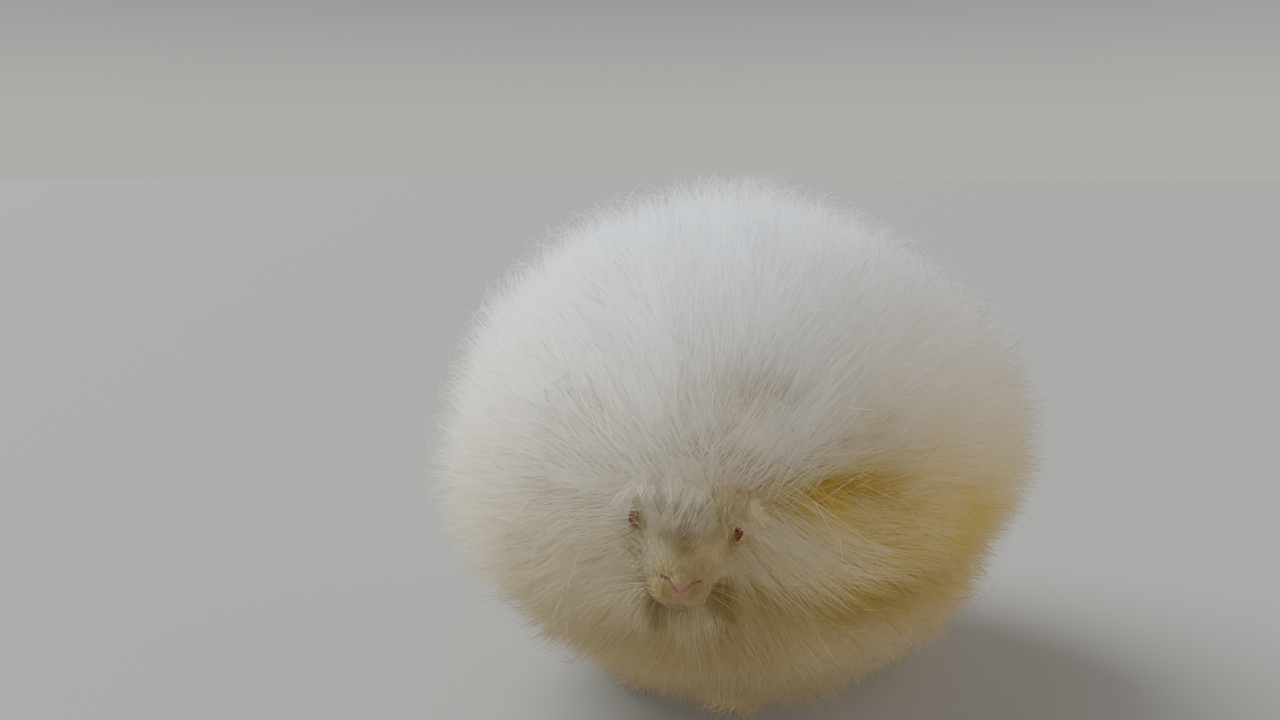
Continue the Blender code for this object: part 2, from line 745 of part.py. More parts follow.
# Ears

def ear_frame(side):
    length = head_vector(*mirrored(EAR_LEAN, side)).normalized()
    hollow = (FORWARD + LEFT * side * 0.25 - length * (FORWARD + LEFT * side * 0.25).dot(length)).normalized()
    return length, hollow, length.cross(hollow)


def ear_spine(side, share):
    length = ear_frame(side)[0]
    droop = UPWARD * -EAR_DROOP * share * share
    return head_point(*mirrored(EAR_ROOT, side)) + length * EAR_LENGTH * share + droop


def ear_half_width(share):
    return EAR_WIDTH / 2 * (0.52 + 0.95 * math.sin(math.pi * min(share, 0.98) ** 0.85) ** 0.8 * 0.52)


def add_ear_blade(name, side, collection):
    # a cupped leaf, open forward, with an even thickness that thins at the rim
    _, hollow, across = ear_frame(side)
    rings = []
    for share in EAR_SHARES:
        centre = ear_spine(side, share)
        half = ear_half_width(share) * (1 if share < 0.8 else math.sqrt((1.02 - share) / 0.22))
        cup = half * (0.85 - 0.45 * share)
        front, back = [], []
        for k in range(7):
            place = k / 3 - 1
            middle = centre + across * half * place + hollow * cup * (place * place - 0.4)
            thick = hollow * EAR_THICKNESS / 2 * (1.0 if abs(place) < 0.9 else 0.55)
            front.append(middle + thick)
            back.append(middle - thick)
        rings.append(front + back[::-1])
    return add_loft(name, rings, collection, ear_spine(side, 1.0))


def build_ear(name, side, coat, parts, cutters):
    ear = add_ear_blade(name, side, parts)
    coat.grow(ear, name, (ear_spine(side, 0.35), ear_spine(side, 0.92)), EAR_LEAN_SHARE, EAR_LOCK_WIDTH)
    length, hollow, across = ear_frame(side)
    fringe = new_collection(name + "_fringe")
    for i in range(FRINGE_COUNT):
        share = FRINGE_START + FRINGE_STEP * i
        edge = 1 if i % 2 else -1
        half = ear_half_width(share) * 0.72
        root = ear_spine(side, share) + across * half * edge + hollow * half * 0.15
        aim = (length + across * edge * 0.55 * (1 - share * 0.7) + hollow * 0.18).normalized()
        tip = coat_point((root + aim * 0.10 - COAT_CENTRE).normalized())
        add_lock(f"{name}_fringe_{i}", root, aim, root.lerp(tip, 0.96), across, FRINGE_WIDTH,
                 FRINGE_THICKNESS, fringe)
    boolean_all(ear, "UNION", fringe)
    wedge = add_ear_wedge(name + "_room", side, -GAP / 2, cutters)
    behind = add_half_space(name + "_behind", shoulder_face(GAP / 2), -SHOULDER_NORMAL, cutters)
    skull = add_head_form(name + "_skull", GAP, cutters)
    boolean(ear, "INTERSECT", wedge)
    boolean(ear, "DIFFERENCE", behind)
    boolean(ear, "DIFFERENCE", skull)
    keep_largest(ear)
    return ear


# Legs

def add_leg_form(name, leg, side, margin, collection):
    # the upper limb, and a foot with a flat sole, both grown by the margin
    pieces = new_collection(name + "_pieces")
    centre = Vector((side * leg["side"], *leg["upper_centre"]))
    upper = add_ellipsoid(name, centre, [r + margin for r in leg["upper_radii"]], collection, 14, 8)
    rings = []
    for share, wide, high in FOOT_SECTIONS:
        y = leg["front"] + (leg["back"] - leg["front"]) * share + margin * (2 * share - 1)
        ring = []
        for i in range(FOOT_SIDES):
            turn = math.tau * (i + 0.5) / FOOT_SIDES
            rise = max(-1.0, min(1.0, 1.6 * math.sin(turn)))
            x = side * leg["side"] + math.cos(turn) * (leg["half_width"] * wide + margin)
            ring.append(Vector((x, y, leg["top"] * high * (1 + rise) / 2 + margin * math.sin(turn))))
        rings.append(ring)
    add_loft(name + "_foot", rings, pieces)
    boolean_all(upper, "UNION", pieces)
    return upper


def build_leg(name, leg, side, parts):
    limb = add_leg_form(name, leg, side, 0.0, parts)
    grooves = new_collection(name + "_grooves")
    for k in (-1, 0, 1):
        x = side * leg["side"] + k * leg["toe_spread"]
        points = [(x, leg["front"] + back, leg["top"] * high) for back, high in TOE_GROOVE]
        add_bar(f"{name}_groove_{k + 1}", points, TOE_GROOVE_RADIUS, grooves)
    boolean_all(limb, "DIFFERENCE", grooves)
    keep_largest(limb)
    return limb


def hide_cutters(cutters):
    for cutter in cutters.objects:
        cutter.hide_render = True
        cutter.display_type = "WIRE"


def main():
    clear_scene()
    parts = new_collection("angora_rabbit")
    cutters = new_collection("cutters")
    wool = new_material("wool", WOOL_COLOUR, 0.9)
    face = new_material("face_fur", FACE_COLOUR, 0.85)
    ear_fur = new_material("ear_fur", EAR_COLOUR, 0.85)
    paw_fur = new_material("paw_fur", PAW_COLOUR, 0.85)
    eye = new_material("eye", EYE_COLOUR, 0.08)

    coat = Coat()
    legs_room = []
    for name, leg, side in (("foreleg_left", FORELEG, 1), ("foreleg_right", FORELEG, -1),
                            ("hindleg_left", HINDLEG, 1), ("hindleg_right", HINDLEG, -1)):
        set_material(build_leg(name, leg, side, parts), paw_fur)
        legs_room.append(add_leg_form(name + "_room", leg, side, GAP, cutters))
    set_material(build_torso(coat, parts, cutters, legs_room), wool)
    set_material(build_tail(coat, parts, cutters), wool)
    set_material(build_neck(coat, parts, cutters, legs_room), wool)
    set_material(build_head(coat, parts, cutters), face)
    for name, side in (("left", 1), ("right", -1)):
        set_material(build_ear("ear_" + name, side, coat, parts, cutters), ear_fur)
        set_material(build_eye("eye_" + name, side, parts), eye)
    hide_cutters(cutters)


main()
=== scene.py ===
import json
import math
import bpy
import bmesh
import numpy as np
from mathutils import Matrix
from mathutils.kdtree import KDTree

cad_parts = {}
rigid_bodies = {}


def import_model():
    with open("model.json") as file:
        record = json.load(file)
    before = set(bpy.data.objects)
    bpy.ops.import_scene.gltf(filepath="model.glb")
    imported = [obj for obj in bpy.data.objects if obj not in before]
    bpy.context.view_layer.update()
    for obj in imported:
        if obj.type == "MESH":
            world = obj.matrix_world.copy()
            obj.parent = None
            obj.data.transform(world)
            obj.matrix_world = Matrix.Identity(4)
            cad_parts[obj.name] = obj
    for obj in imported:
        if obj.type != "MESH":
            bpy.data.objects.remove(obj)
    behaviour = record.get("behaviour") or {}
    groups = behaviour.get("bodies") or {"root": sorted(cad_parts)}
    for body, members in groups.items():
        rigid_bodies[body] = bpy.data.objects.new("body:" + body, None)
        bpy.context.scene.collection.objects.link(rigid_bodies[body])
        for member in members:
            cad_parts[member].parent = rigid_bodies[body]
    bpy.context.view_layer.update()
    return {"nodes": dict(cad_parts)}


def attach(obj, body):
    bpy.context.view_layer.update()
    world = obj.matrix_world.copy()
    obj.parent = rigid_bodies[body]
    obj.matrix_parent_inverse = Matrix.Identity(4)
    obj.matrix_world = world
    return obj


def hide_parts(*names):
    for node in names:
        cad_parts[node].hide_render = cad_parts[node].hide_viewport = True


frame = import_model()
print("frame loaded, nodes:", len(frame["nodes"]))


# Shape of the rabbit, in metres, +Y from the head end to the rump, +X to its left

seed = 23
coat = {
    "centre": (0.0, 0.0, 0.150),  # middle of the blown-out ball
    "floor": 0.0035,              # how near the wool comes to the floor
    "blend": 0.008,               # softness where the lobes meet
    "lobes": (                    # centre and radii
        ((0.000, -0.034, 0.183), (0.203, 0.190, 0.179)),
        ((0.001, 0.083, 0.170), (0.192, 0.152, 0.152)),
        ((0.002, -0.130, 0.160), (0.168, 0.100, 0.118)),
        ((-0.018, 0.050, 0.080), (0.182, 0.150, 0.095)),
    ),
}
combing = {
    "fromFace": 0.70, "back": 0.12,  # how much the wool points away from the face, and to the rear
    "down": 0.30, "height": 0.140, "range": 0.07,  # how much it hangs, round this height
}
head = {
    "back": (0.025, -0.123, 0.165),
    "yaw": 30, "pitch": 16, "roll": 8,  # turned to its left, lowered and tilted, in degrees
    "length": 0.107, "tip": (0.107, 0, -0.001),
    "sections": (  # share of the length, half width, height above and depth below the axis
        (0.00, 0.0285, 0.0285, 0.0290), (0.18, 0.0355, 0.0355, 0.0370), (0.38, 0.0375, 0.0370, 0.0385),
        (0.53, 0.0340, 0.0350, 0.0355), (0.66, 0.0275, 0.0295, 0.0300), (0.78, 0.0205, 0.0225, 0.0245),
        (0.88, 0.0160, 0.0165, 0.0200), (0.95, 0.0115, 0.0115, 0.0150), (1.00, 0.0020, 0.0020, 0.0030),
    ),
    "whiskerPad": ((0.0930, 0.0078, -0.0050), (0.0135, 0.0090, 0.0100)),
    "nosePad": ((0.1010, 0.0000, 0.0040), (0.0068, 0.0068, 0.0058)),
    "chinPad": ((0.0860, 0.0000, -0.0170), (0.0135, 0.0095, 0.0070)),
    "cheekPad": ((0.0560, 0.0165, -0.0120), (0.0250, 0.0140, 0.0170)),
    "browPad": ((0.0520, 0.0235, 0.0245), (0.0150, 0.0075, 0.0060)),
}
eye = {
    "place": (0.057, 0.0265, 0.0135), "radius": 0.0082, "look": (0.32, 0.93, 0.16),
    "lid": 0.0018, "lidWide": 1.12, "lidHigh": 0.90, "lidOut": 0.98, "lidForward": 0.42,
    "iris": (0.0052, 0.0012), "pupil": (0.0020, 0.0006),  # radius and softness of the edge
    "cornea": 0.72, "bulge": 0.055,  # where the clear front starts, as a share of the radius, and its rise
}
ear = {
    "root": (0.019, 0.0235, 0.0235), "lean": (-0.06, 0.78, 0.62), "droop": 0.010,
    "length": 0.092, "width": 0.040, "thickness": 0.0032,
    "cup": (0.85, 0.45), "cupFloor": 0.4,  # depth of the cup at its root, and how much less at the tip
}
foreleg = {
    "side": 0.034, "front": -0.086, "back": -0.014, "halfWidth": 0.0150, "top": 0.022,
    "upperCentre": (-0.028, 0.048), "upperRadii": (0.018, 0.024, 0.036), "toe": 0.0074,
}
hindleg = {
    "side": 0.054, "front": -0.006, "back": 0.106, "halfWidth": 0.0170, "top": 0.026,
    "upperCentre": (0.070, 0.060), "upperRadii": (0.032, 0.058, 0.048), "toe": 0.0088,
}
coatCentre = np.array(coat["centre"])


def unit(vectors):
    return vectors / np.maximum(np.linalg.norm(vectors, axis=-1, keepdims=True), 1e-9)


def crossing(vectors, normals):  # the part of vectors that lies across these unit directions
    return vectors - normals * (vectors * normals).sum(-1, keepdims=True)


def fallOff(away, width):  # 1 at no distance, falling smoothly towards 0
    return np.exp(-(away / width) ** 2)


def distanceToLine(points, line):  # least distance from each point to a bent line
    best = np.full(len(points), np.inf)
    for start, end in zip(line[:-1], line[1:]):
        start, end = np.array(start), np.array(end)
        step = end - start
        share = np.clip((points - start) @ step / (step @ step), 0, 1)
        best = np.minimum(best, np.linalg.norm(points - start - share[:, None] * step, axis=1))
    return best


def headAxes():
    yaw, pitch, roll = (math.radians(head[key]) for key in ("yaw", "pitch", "roll"))
    level = np.array((math.cos(yaw), math.sin(yaw), 0.0))
    forward = np.array((math.sin(yaw) * math.cos(pitch), -math.cos(yaw) * math.cos(pitch), -math.sin(pitch)))
    left = level * math.cos(roll) - np.cross(forward, level) * math.sin(roll)
    return np.array((forward, left, np.cross(forward, left)))


headFrame = headAxes()
ahead = headFrame[0]
headBack = np.array(head["back"])


def headVector(place):
    return np.asarray(place) @ headFrame


def headPoint(place):  # from forward, left and up in the head to the row frame
    return headBack + headVector(place)


def inHead(points):  # the way back
    return (points - headBack) @ headFrame.T


def offAxis(local):  # distance from the head's long axis
    return np.hypot(local[..., 1], local[..., 2])


def halfFace(points):  # head coordinates with both sides of the face folded together
    return inHead(points) * (1, 0, 1) + np.abs(inHead(points)) * (0, 1, 0)


def mirrored(place, side):
    return (place[0], place[1] * side, place[2])


def eyeAt(side):  # centre of the eye, the way it looks, and forward across that
    look = unit(headVector(mirrored(eye["look"], side)))
    return headPoint(mirrored(eye["place"], side)), look, unit(crossing(ahead, look))


faceMiddle = headPoint((head["length"] * 0.8, 0, 0))


def coatReach(directions):  # from the coat's centre to the tips of its wool
    reaches = []
    for centre, radii in coat["lobes"]:
        radii = np.array(radii)
        offset = (coatCentre - centre) / radii
        slope = directions / radii
        a = (slope ** 2).sum(1)
        b = 2 * slope @ offset
        c = (offset ** 2).sum() - 1
        reaches.append((-b + np.sqrt(np.maximum(b * b - 4 * a * c, 0))) / (2 * a))
    reaches = np.array(reaches)
    longest = reaches.max(0)
    soft = longest + coat["blend"] * np.log(np.exp((reaches - longest) / coat["blend"]).sum(0))
    down = np.minimum(directions[:, 2], -1e-6)
    toFloor = np.where(directions[:, 2] < -1e-6, (coatCentre[2] - coat["floor"]) / -down, np.inf)
    return np.minimum(soft, toFloor)


def outTo(aims, reach):  # places this far from the coat's centre
    return coatCentre + aims * reach[:, None]


def onBall(points):  # each place carried out to the tips of the wool
    aims = unit(points - coatCentre)
    return outTo(aims, coatReach(aims))


def lieOfCoat(points):  # outward round the face, backward over the body, downward on the flanks
    lie = unit(crossing(points - faceMiddle, unit(points - coatCentre))) * combing["fromFace"]
    lie[:, 1] += combing["back"]
    lie[:, 2] -= combing["down"] * fallOff(points[:, 2] - combing["height"], combing["range"])
    return lie


rightCheekLine = ((0.0545, -0.2255, 0.1426), (0.0270, -0.2201, 0.1081))
earLockLine = ((0.1156, -0.1913, 0.2201), (0.1467, -0.1674, 0.2139), (0.1660, -0.1330, 0.2150))
folds = (  # lines on the ball where wool parts (rise below 0) or heaps up: points, width, rise, shade (painted shade) and stain (yellow, partly stain and partly painted warm shade)
    (((0.0848, -0.2147, 0.1978), (0.1379, -0.1856, 0.1927), (0.1612, -0.1582, 0.1940),
      (0.1811, -0.1195, 0.1920)), 0.013, -0.021, 0.50, 0.66),               # under the left ear's wool
    (((0.165, -0.145, 0.176), (0.196, -0.060, 0.168), (0.200, -0.005, 0.150), (0.190, 0.010, 0.115)),
     0.046, -0.004, 0.12, 0.52),                                            # the yellow of the left flank, partly stain and partly painted warm shade
    (((0.170, -0.130, 0.170), (0.195, -0.055, 0.160), (0.205, 0.030, 0.145), (0.195, 0.080, 0.125)),
     0.070, 0.0, 0.0, 0.30),
    (((0.1700, -0.0950, 0.1040), (0.1815, -0.0404, 0.1030), (0.1820, 0.0, 0.0950)),
     0.036, -0.004, 0.40, 0.50),
    (((0.0950, -0.1740, 0.2693), (0.1227, -0.1589, 0.2639)), 0.014, -0.015, 0.26, 0.28),  # over the ear
    (((0.0127, -0.2301, 0.1941), (0.0420, -0.2262, 0.1978), (0.0648, -0.2196, 0.2044)),
     0.012, -0.009, 0.16, 0.04),                                            # before the right ear
    (((0.0534, -0.2179, 0.2198), (0.0937, -0.1979, 0.2327), (0.1281, -0.1687, 0.2431)),
     0.024, 0.010, 0.0, -0.20),
    (earLockLine, 0.014, 0.010, 0.0, -0.20),
    (((0.0986, -0.2132, 0.1500), (0.1222, -0.2012, 0.1540), (0.1565, -0.1717, 0.1530),
      (0.1770, -0.1200, 0.1450)), 0.018, 0.013, -0.30, -0.55),              # the left cheek's wool
    (((0.0990, -0.2040, 0.1160), (0.1252, -0.1810, 0.1049), (0.1469, -0.1327, 0.0932),
      (0.1757, -0.0787, 0.1000)), 0.017, -0.013, 0.54, 0.45),               # under it
    (((-0.150, -0.100, 0.075), (-0.070, -0.175, 0.070), (0.030, -0.195, 0.055), (0.110, -0.165, 0.055)),
     0.036, 0.0, 0.42, 0.16),                                               # the wool over the floor, with painted shade
    (rightCheekLine, 0.011, 0.015, -0.30, 0.0),
    (((0.0739, -0.2201, 0.1887), (0.1094, -0.2071, 0.1801)), 0.011, 0.006, -0.20, -0.20),  # the forelock
    (((0.0790, -0.2110, 0.1120), (0.0780, -0.1960, 0.0860)), 0.013, 0.012, 0.0, 0.0),      # the bib
    (((0.0590, -0.2235, 0.1400), (0.0560, -0.2172, 0.1134), (0.0500, -0.2061, 0.0880)),
     0.0085, -0.016, 0.85, 0.25),                                           # beside the bib
    (((0.0990, -0.2067, 0.1240), (0.0990, -0.1989, 0.1045), (0.1013, -0.1847, 0.0882)),
     0.0085, -0.016, 0.80, 0.30),
    (((0.0509, -0.2272, 0.1800), (0.0509, -0.2272, 0.1770)), 0.0105, -0.012, 0.70, 0.10),  # by the right eye
    (((0.1132, -0.2060, 0.1748), (0.0986, -0.2132, 0.1640)), 0.0095, -0.013, 0.80, 0.55),  # by the left eye
    (((-0.09, -0.075, 0.012), (-0.03, -0.088, 0.010), (0.05, -0.088, 0.010), (0.10, -0.06, 0.012)),
     0.028, 0.020, 0.0, 0.0),                                               # the wool before the forepaws
)
faceShade = (  # hollows of the face, with painted shade: place in the head, radius and how dark the shade is painted there
    ((0.0980, 0.0000, -0.0215), 0.0140, 1.00),  # under the lips
    ((0.0930, 0.0130, -0.0200), 0.0100, 1.00),
    ((0.0900, 0.0210, -0.0080), 0.0100, 1.00),  # beside the muzzle
    ((0.0880, 0.0000, 0.0190), 0.0135, 1.00),   # over the bridge of the nose
    ((0.0960, 0.0060, 0.0000), 0.0270, 1.00),   # the muzzle, deep between the cheeks
    ((0.0900, 0.0000, -0.0400), 0.0260, 0.35),  # the bib
    ((0.0640, 0.0340, 0.0170), 0.0170, 1.00),   # in front of the eyes
)


def nearLine(points, line, width):  # 1 on a line drawn on the ball, falling towards 0 beside it
    return fallOff(distanceToLine(points, onBall(np.array(line))), width)


def paintedShadeAndYellowAt(points):  # how much painted shade and how much yellow the wool has at these places; the yellow is partly stain and partly painted warm shade
    shade, stainAndWarmShade = np.zeros(len(points)), np.zeros(len(points))
    outer = onBall(points)
    for line, width, _, dark, yellow in folds:
        if dark or yellow:
            near = nearLine(outer, line, width)
            shade += dark * near
            stainAndWarmShade += yellow * near
    half = halfFace(points)
    for place, radius, amount in faceShade:
        shade = np.maximum(shade, amount * fallOff(np.linalg.norm(half - place, axis=1), radius))
    return np.clip(shade, 0, 1), np.clip(stainAndWarmShade, 0, 1)


def foldHeight(points):
    return sum(rise * nearLine(points, line, width) for line, width, rise, _, _ in folds)


def evenDirections(count):
    steps = np.arange(count) + 0.5
    height = 1 - 2 * steps / count
    turn = steps * math.pi * (3 - math.sqrt(5))
    flat = np.sqrt(1 - height ** 2)
    return np.stack((np.cos(turn) * flat, np.sin(turn) * flat, height), 1)


def waveField(rng, size, waves=9):  # a smooth random vector field with swirls about this size
    turns = unit(rng.normal(size=(waves, 3))) * (math.tau / size) * rng.uniform(0.6, 1.5, (waves, 1))
    starts = rng.uniform(0, math.tau, waves)
    aims = rng.normal(size=(waves, 3)) / math.sqrt(waves)
    return lambda points: np.sin(points @ turns.T + starts) @ aims


# Undercoat: the dense wool that the long tips stand out of, with a dish where the face sits

underwool = {
    "depth": 0.80,                 # share of the way to the tips
    "fold": 0.75,                  # how far it follows the folds of the tips
    "dishStart": 0.026,            # where the dish starts behind the face, along the head
    "dishWidth": 0.026, "dishSlope": 0.62,
    "search": (0.25, 1.0, 26),     # shares of the way out at which the dish is looked for
    "ripples": (0.0050, 0.0022),   # height of the broad and the fine ones
    "rippleSizes": (0.055, 0.016),
    "overFloor": 0.006, "grid": 180,
}
faceOpening = {"start": 0.050, "radius": 0.0160, "slope": 0.03, "back": 0.020}


def underReach(directions):  # how far the undercoat reaches, less where the face comes out
    tip = coatReach(directions)
    full = tip * underwool["depth"] + foldHeight(outTo(directions, tip)) * underwool["fold"]
    steps = np.linspace(*underwool["search"])
    local = inHead(coatCentre + directions[:, None, :] * (full[:, None, None] * steps[None, :, None]))
    beside = np.maximum(0, offAxis(local) - underwool["dishWidth"])
    dish = underwool["dishStart"] + underwool["dishSlope"] * beside
    over = local[..., 0] - dish
    crossed = (over > 0).any(1)
    first = np.where(crossed, (over > 0).argmax(1), 0)
    before = np.maximum(first - 1, 0)
    rows = np.arange(len(directions))
    low, high = over[rows, before], over[rows, first]
    part = np.where(first > 0, -low / np.maximum(high - low, 1e-9), 0)
    share = steps[before] + (steps[first] - steps[before]) * np.clip(part, 0, 1)
    return full * np.where(crossed, share, 1.0)


def openTo(points, wider=0.0):  # wool is held out of the opening round the muzzle
    local = inHead(points)
    beyond = np.maximum(0, local[:, 0] - faceOpening["start"])
    least = faceOpening["radius"] + wider + faceOpening["slope"] * beyond
    least = np.where(local[:, 0] > faceOpening["back"], least, 0)
    local[:, 1:] *= np.maximum(1.0, least / np.maximum(offAxis(local), 1e-4))[:, None]
    return headPoint(local)


# An unwrap of the skin's shape: the ball is opened out like an octahedron, the head, ears and feet are charts

charts = {  # left and lower edge on the map, and scale across and up
    "ball": (0.005, 0.005, 0.63, 0.63), "head": (0.66, 0.02, 0.32, 0.40),
    "earRight": (0.66, 0.45, 0.14, 0.20), "earLeft": (0.83, 0.45, 0.14, 0.20),
    "feet": (0.812, 0.83, 1.9, 1.3),  # these two scales are for each metre
}


def onChart(name, across, up):
    left, low, width, height = charts[name]
    return np.stack((left + width * across, low + height * up), 1)


def turnedOut(x, y):  # the square's corners and its middle change places
    return np.where(x >= 0, 1, -1) * (1 - np.abs(y)), np.where(y >= 0, 1, -1) * (1 - np.abs(x))


def ballChart(directions):
    x, y = (directions / np.abs(directions).sum(1, keepdims=True))[:, :2].T
    x, y = np.where(directions[:, 2] < 0, turnedOut(x, y), (x, y))
    return onChart("ball", x * 0.5 + 0.5, y * 0.5 + 0.5)


def chartBack(u, v):  # from the opened square to directions
    x, y = u * 2 - 1, v * 2 - 1
    z = 1 - np.abs(x) - np.abs(y)
    x, y = np.where(z < 0, turnedOut(x, y), (x, y))
    return unit(np.stack((x, y, z), 1))


def headChart(share, turn):
    return onChart("head", turn / math.tau % 1.0, np.clip(share, 0, 1))


def headChartOf(local):
    return headChart(local[:, 0] / head["length"], np.arctan2(local[:, 2], local[:, 1]))


def earChart(share, across, side):
    return onChart("earLeft" if side > 0 else "earRight", across * 0.5 + 0.5, share)


# Mesh helpers

def addObject(name, data):
    obj = bpy.data.objects.new(name, data)
    bpy.context.scene.collection.objects.link(obj)
    return obj


def formObject(name, vertices, faces):
    mesh = bpy.data.meshes.new(name)
    mesh.from_pydata([tuple(vertex) for vertex in vertices], [], faces)
    return addObject(name, mesh)


def giveFinish(mesh, material):
    mesh.polygons.foreach_set("use_smooth", np.ones(len(mesh.polygons), dtype=bool))
    mesh.materials.clear()
    mesh.materials.append(material)


def rideBody(obj):
    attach(obj, "root")


def linkPiece(name, vertices, faces, material):
    mesh = bpy.data.meshes.new(name)
    faces = np.asarray(faces, dtype=np.int32)
    mesh.vertices.add(len(vertices))
    writePoints(mesh, vertices)
    mesh.loops.add(faces.size)
    mesh.loops.foreach_set("vertex_index", faces.ravel())
    mesh.polygons.add(len(faces))
    mesh.polygons.foreach_set("loop_start", np.arange(len(faces), dtype=np.int32) * faces.shape[1])
    mesh.update(calc_edges=True)
    mesh.validate()
    giveFinish(mesh, material)
    return addObject(name, mesh)


def readPoints(mesh):
    both = []
    for label in ("co", "normal"):
        values = np.empty(len(mesh.vertices) * 3, dtype=np.float32)
        mesh.vertices.foreach_get(label, values)
        both.append(values.reshape(-1, 3).astype(float))
    return both


def writePoints(mesh, points):
    mesh.vertices.foreach_set("co", np.asarray(points, dtype=np.float32).ravel())
    mesh.update()


def turnFacesOut(mesh, merge=0.0):
    shape = bmesh.new()
    shape.from_mesh(mesh)
    if merge:
        bmesh.ops.remove_doubles(shape, verts=shape.verts, dist=merge)
    bmesh.ops.recalc_face_normals(shape, faces=shape.faces)
    shape.to_mesh(mesh)
    shape.free()


def applyModifiers(obj):
    result = bpy.data.meshes.new_from_object(obj.evaluated_get(bpy.context.evaluated_depsgraph_get()))
    obj.modifiers.clear()
    obj.data = result


def addValues(mesh, name, values):
    layer = mesh.attributes.new(name, "FLOAT", "POINT")
    layer.data.foreach_set("value", np.asarray(values, dtype=np.float32).ravel())


def addPaintedShadeAndYellow(mesh, points, each=1):
    for label, values in zip(("shade", "stainAndWarmShade"), paintedShadeAndYellowAt(points)):
        addValues(mesh, label, np.repeat(values, each))


def addBakeMap(mesh, perLoop):
    layer = mesh.uv_layers.new(name="OFBake")
    layer.data.foreach_set("uv", np.asarray(perLoop, dtype=np.float32).ravel())


blade = np.array(((-1.0, -0.28), (1.0, -0.28), (0.0, 0.56)))  # a flat blade of wool, seen end on
bladePatch = 0.003         # size of its place on the map
bladeOverFloor = 0.0004
twoRings = ((0.0, 0.7), (0.5, 1.0))  # share of a blade's length, and its width there
threeRings = ((0.0, 0.8), (0.35, 1.0), (0.7, 0.7))


def bladeFaces(rings):  # the faces of one closed blade, of three sides and one tip
    faces = [(0, 2, 1)]
    for i in range(rings - 1):
        for k in range(3):
            a, b = i * 3 + k, i * 3 + (k + 1) % 3
            faces += [(a, b, b + 3), (a, b + 3, a + 3)]
    last = (rings - 1) * 3
    return np.array(faces + [(last + k, last + (k + 1) % 3, last + 3) for k in range(3)])


def growTufts(rng, name, slot, material, tufts, widths, chart, outward=None, soften=0.0, shape=twoRings,
              tint=None, keep=slice(None)):
    # one closed tapered blade for each root, bent towards its tip, as one joined mesh
    roots, bends, tips, widths, chart = (rows[keep] for rows in (*tufts, widths, chart))
    count, size = len(roots), len(shape) * 3 + 1
    aims = unit(tips - roots)
    side = unit(np.cross(aims, unit(rng.normal(size=(count, 3)))))
    third = np.cross(aims, side)
    points, offset, along = np.empty((count, size, 3)), np.empty((size, 2)), np.empty(size)
    for i, (t, wide) in enumerate(shape):
        middle = roots * (1 - t) ** 2 + bends * (2 * t * (1 - t)) + tips * t ** 2
        for k, (a, b) in enumerate(blade, i * 3):
            points[:, k] = middle + (side * a + third * b) * (widths * wide / 2)[:, None]
            offset[k] = (a * bladePatch / 2, (t - 0.5) * bladePatch)
            along[k] = t
    points[:, -1], offset[-1], along[-1] = tips, (0, bladePatch / 2), 1
    points[..., 2] = np.maximum(points[..., 2], bladeOverFloor)
    one = bladeFaces(len(shape))
    faces = (one + (np.arange(count) * size)[:, None, None]).reshape(-1, 3)
    obj = linkPiece(name, points.reshape(-1, 3), faces, material)
    addBakeMap(obj.data, chart[:, None, None, :] + offset[one])
    addValues(obj.data, "along", np.tile(along, count))
    addValues(obj.data, "tint", np.repeat(rng.uniform(0, 1, count) if tint is None else tint, size))
    addPaintedShadeAndYellow(obj.data, tips, size)
    if soften:
        own = crossing(points - points.mean(1, keepdims=True), aims[:, None, :])
        normals = unit(unit(own) * (1 - soften) + outward[keep][:, None, :] * soften)
        obj.data.normals_split_custom_set_from_vertices(normals.reshape(-1, 3).astype(np.float32))
    rideBody(obj)


def clumped(points, centres, strength):  # tips drawn towards the nearest tuft centre
    tree = KDTree(len(centres))
    for i, centre in enumerate(centres):
        tree.insert(centre, i)
    tree.balance()
    near = np.array([tree.find(point)[1] for point in points])
    return points + (centres[near] - points) * strength[:, None]


def gathered(rng, tips, number, strength, least=0.4):  # tips drawn towards a number of their own
    centres = tips[rng.permutation(len(tips))[:number]]
    return clumped(tips, centres, strength * rng.uniform(least, 1.2, len(tips)))


def unevenWidths(rng, width, count, least=0.6, most=1.3):
    return width * rng.uniform(least, most, count)


# Materials

def feed(tree, socket, value):  # a number or colour, or what another node gives
    if isinstance(value, (int, float, tuple)):
        socket.default_value = value
    else:
        tree.links.new(value, socket)


def newGroup(name, inputs, outputs):
    group = bpy.data.node_groups.new(name, "ShaderNodeTree")
    for label, value in inputs:
        socket = group.interface.new_socket(name=label, in_out="INPUT", socket_type="NodeSocketFloat")
        socket.default_value = value
    for label, kind in outputs:
        group.interface.new_socket(name=label, in_out="OUTPUT", socket_type=kind)
    return group, group.nodes.new("NodeGroupInput").outputs, group.nodes.new("NodeGroupOutput").inputs


def placeIn(tree):
    return tree.nodes.new("ShaderNodeTexCoord").outputs["Object"]


def addMath(tree, operation, *values, clamp=False):
    node = tree.nodes.new("ShaderNodeMath")
    node.operation = operation
    node.use_clamp = clamp
    for slot, value in enumerate(values):
        feed(tree, node.inputs[slot], value)
    return node.outputs[0]


def addMix(tree, factor, first, second):
    node = tree.nodes.new("ShaderNodeMix")
    node.data_type = "RGBA"
    for slot, value in ((0, factor), (6, first), (7, second)):
        feed(tree, node.inputs[slot], value)
    return node.outputs[2]


def addNoise(tree, vector, scale, detail):
    node = tree.nodes.new("ShaderNodeTexNoise")
    for label, value in (("Vector", vector), ("Scale", scale), ("Detail", detail)):
        feed(tree, node.inputs[label], value)
    return node.outputs["Fac"]


def addRange(tree, value, start, end, low=0.0, high=1.0, smooth=False):
    node = tree.nodes.new("ShaderNodeMapRange")
    node.interpolation_type = "SMOOTHSTEP" if smooth else "LINEAR"
    labels = ("Value", "From Min", "From Max", "To Min", "To Max")
    for label, given in zip(labels, (value, start, end, low, high)):
        feed(tree, node.inputs[label], given)
    return node.outputs["Result"]


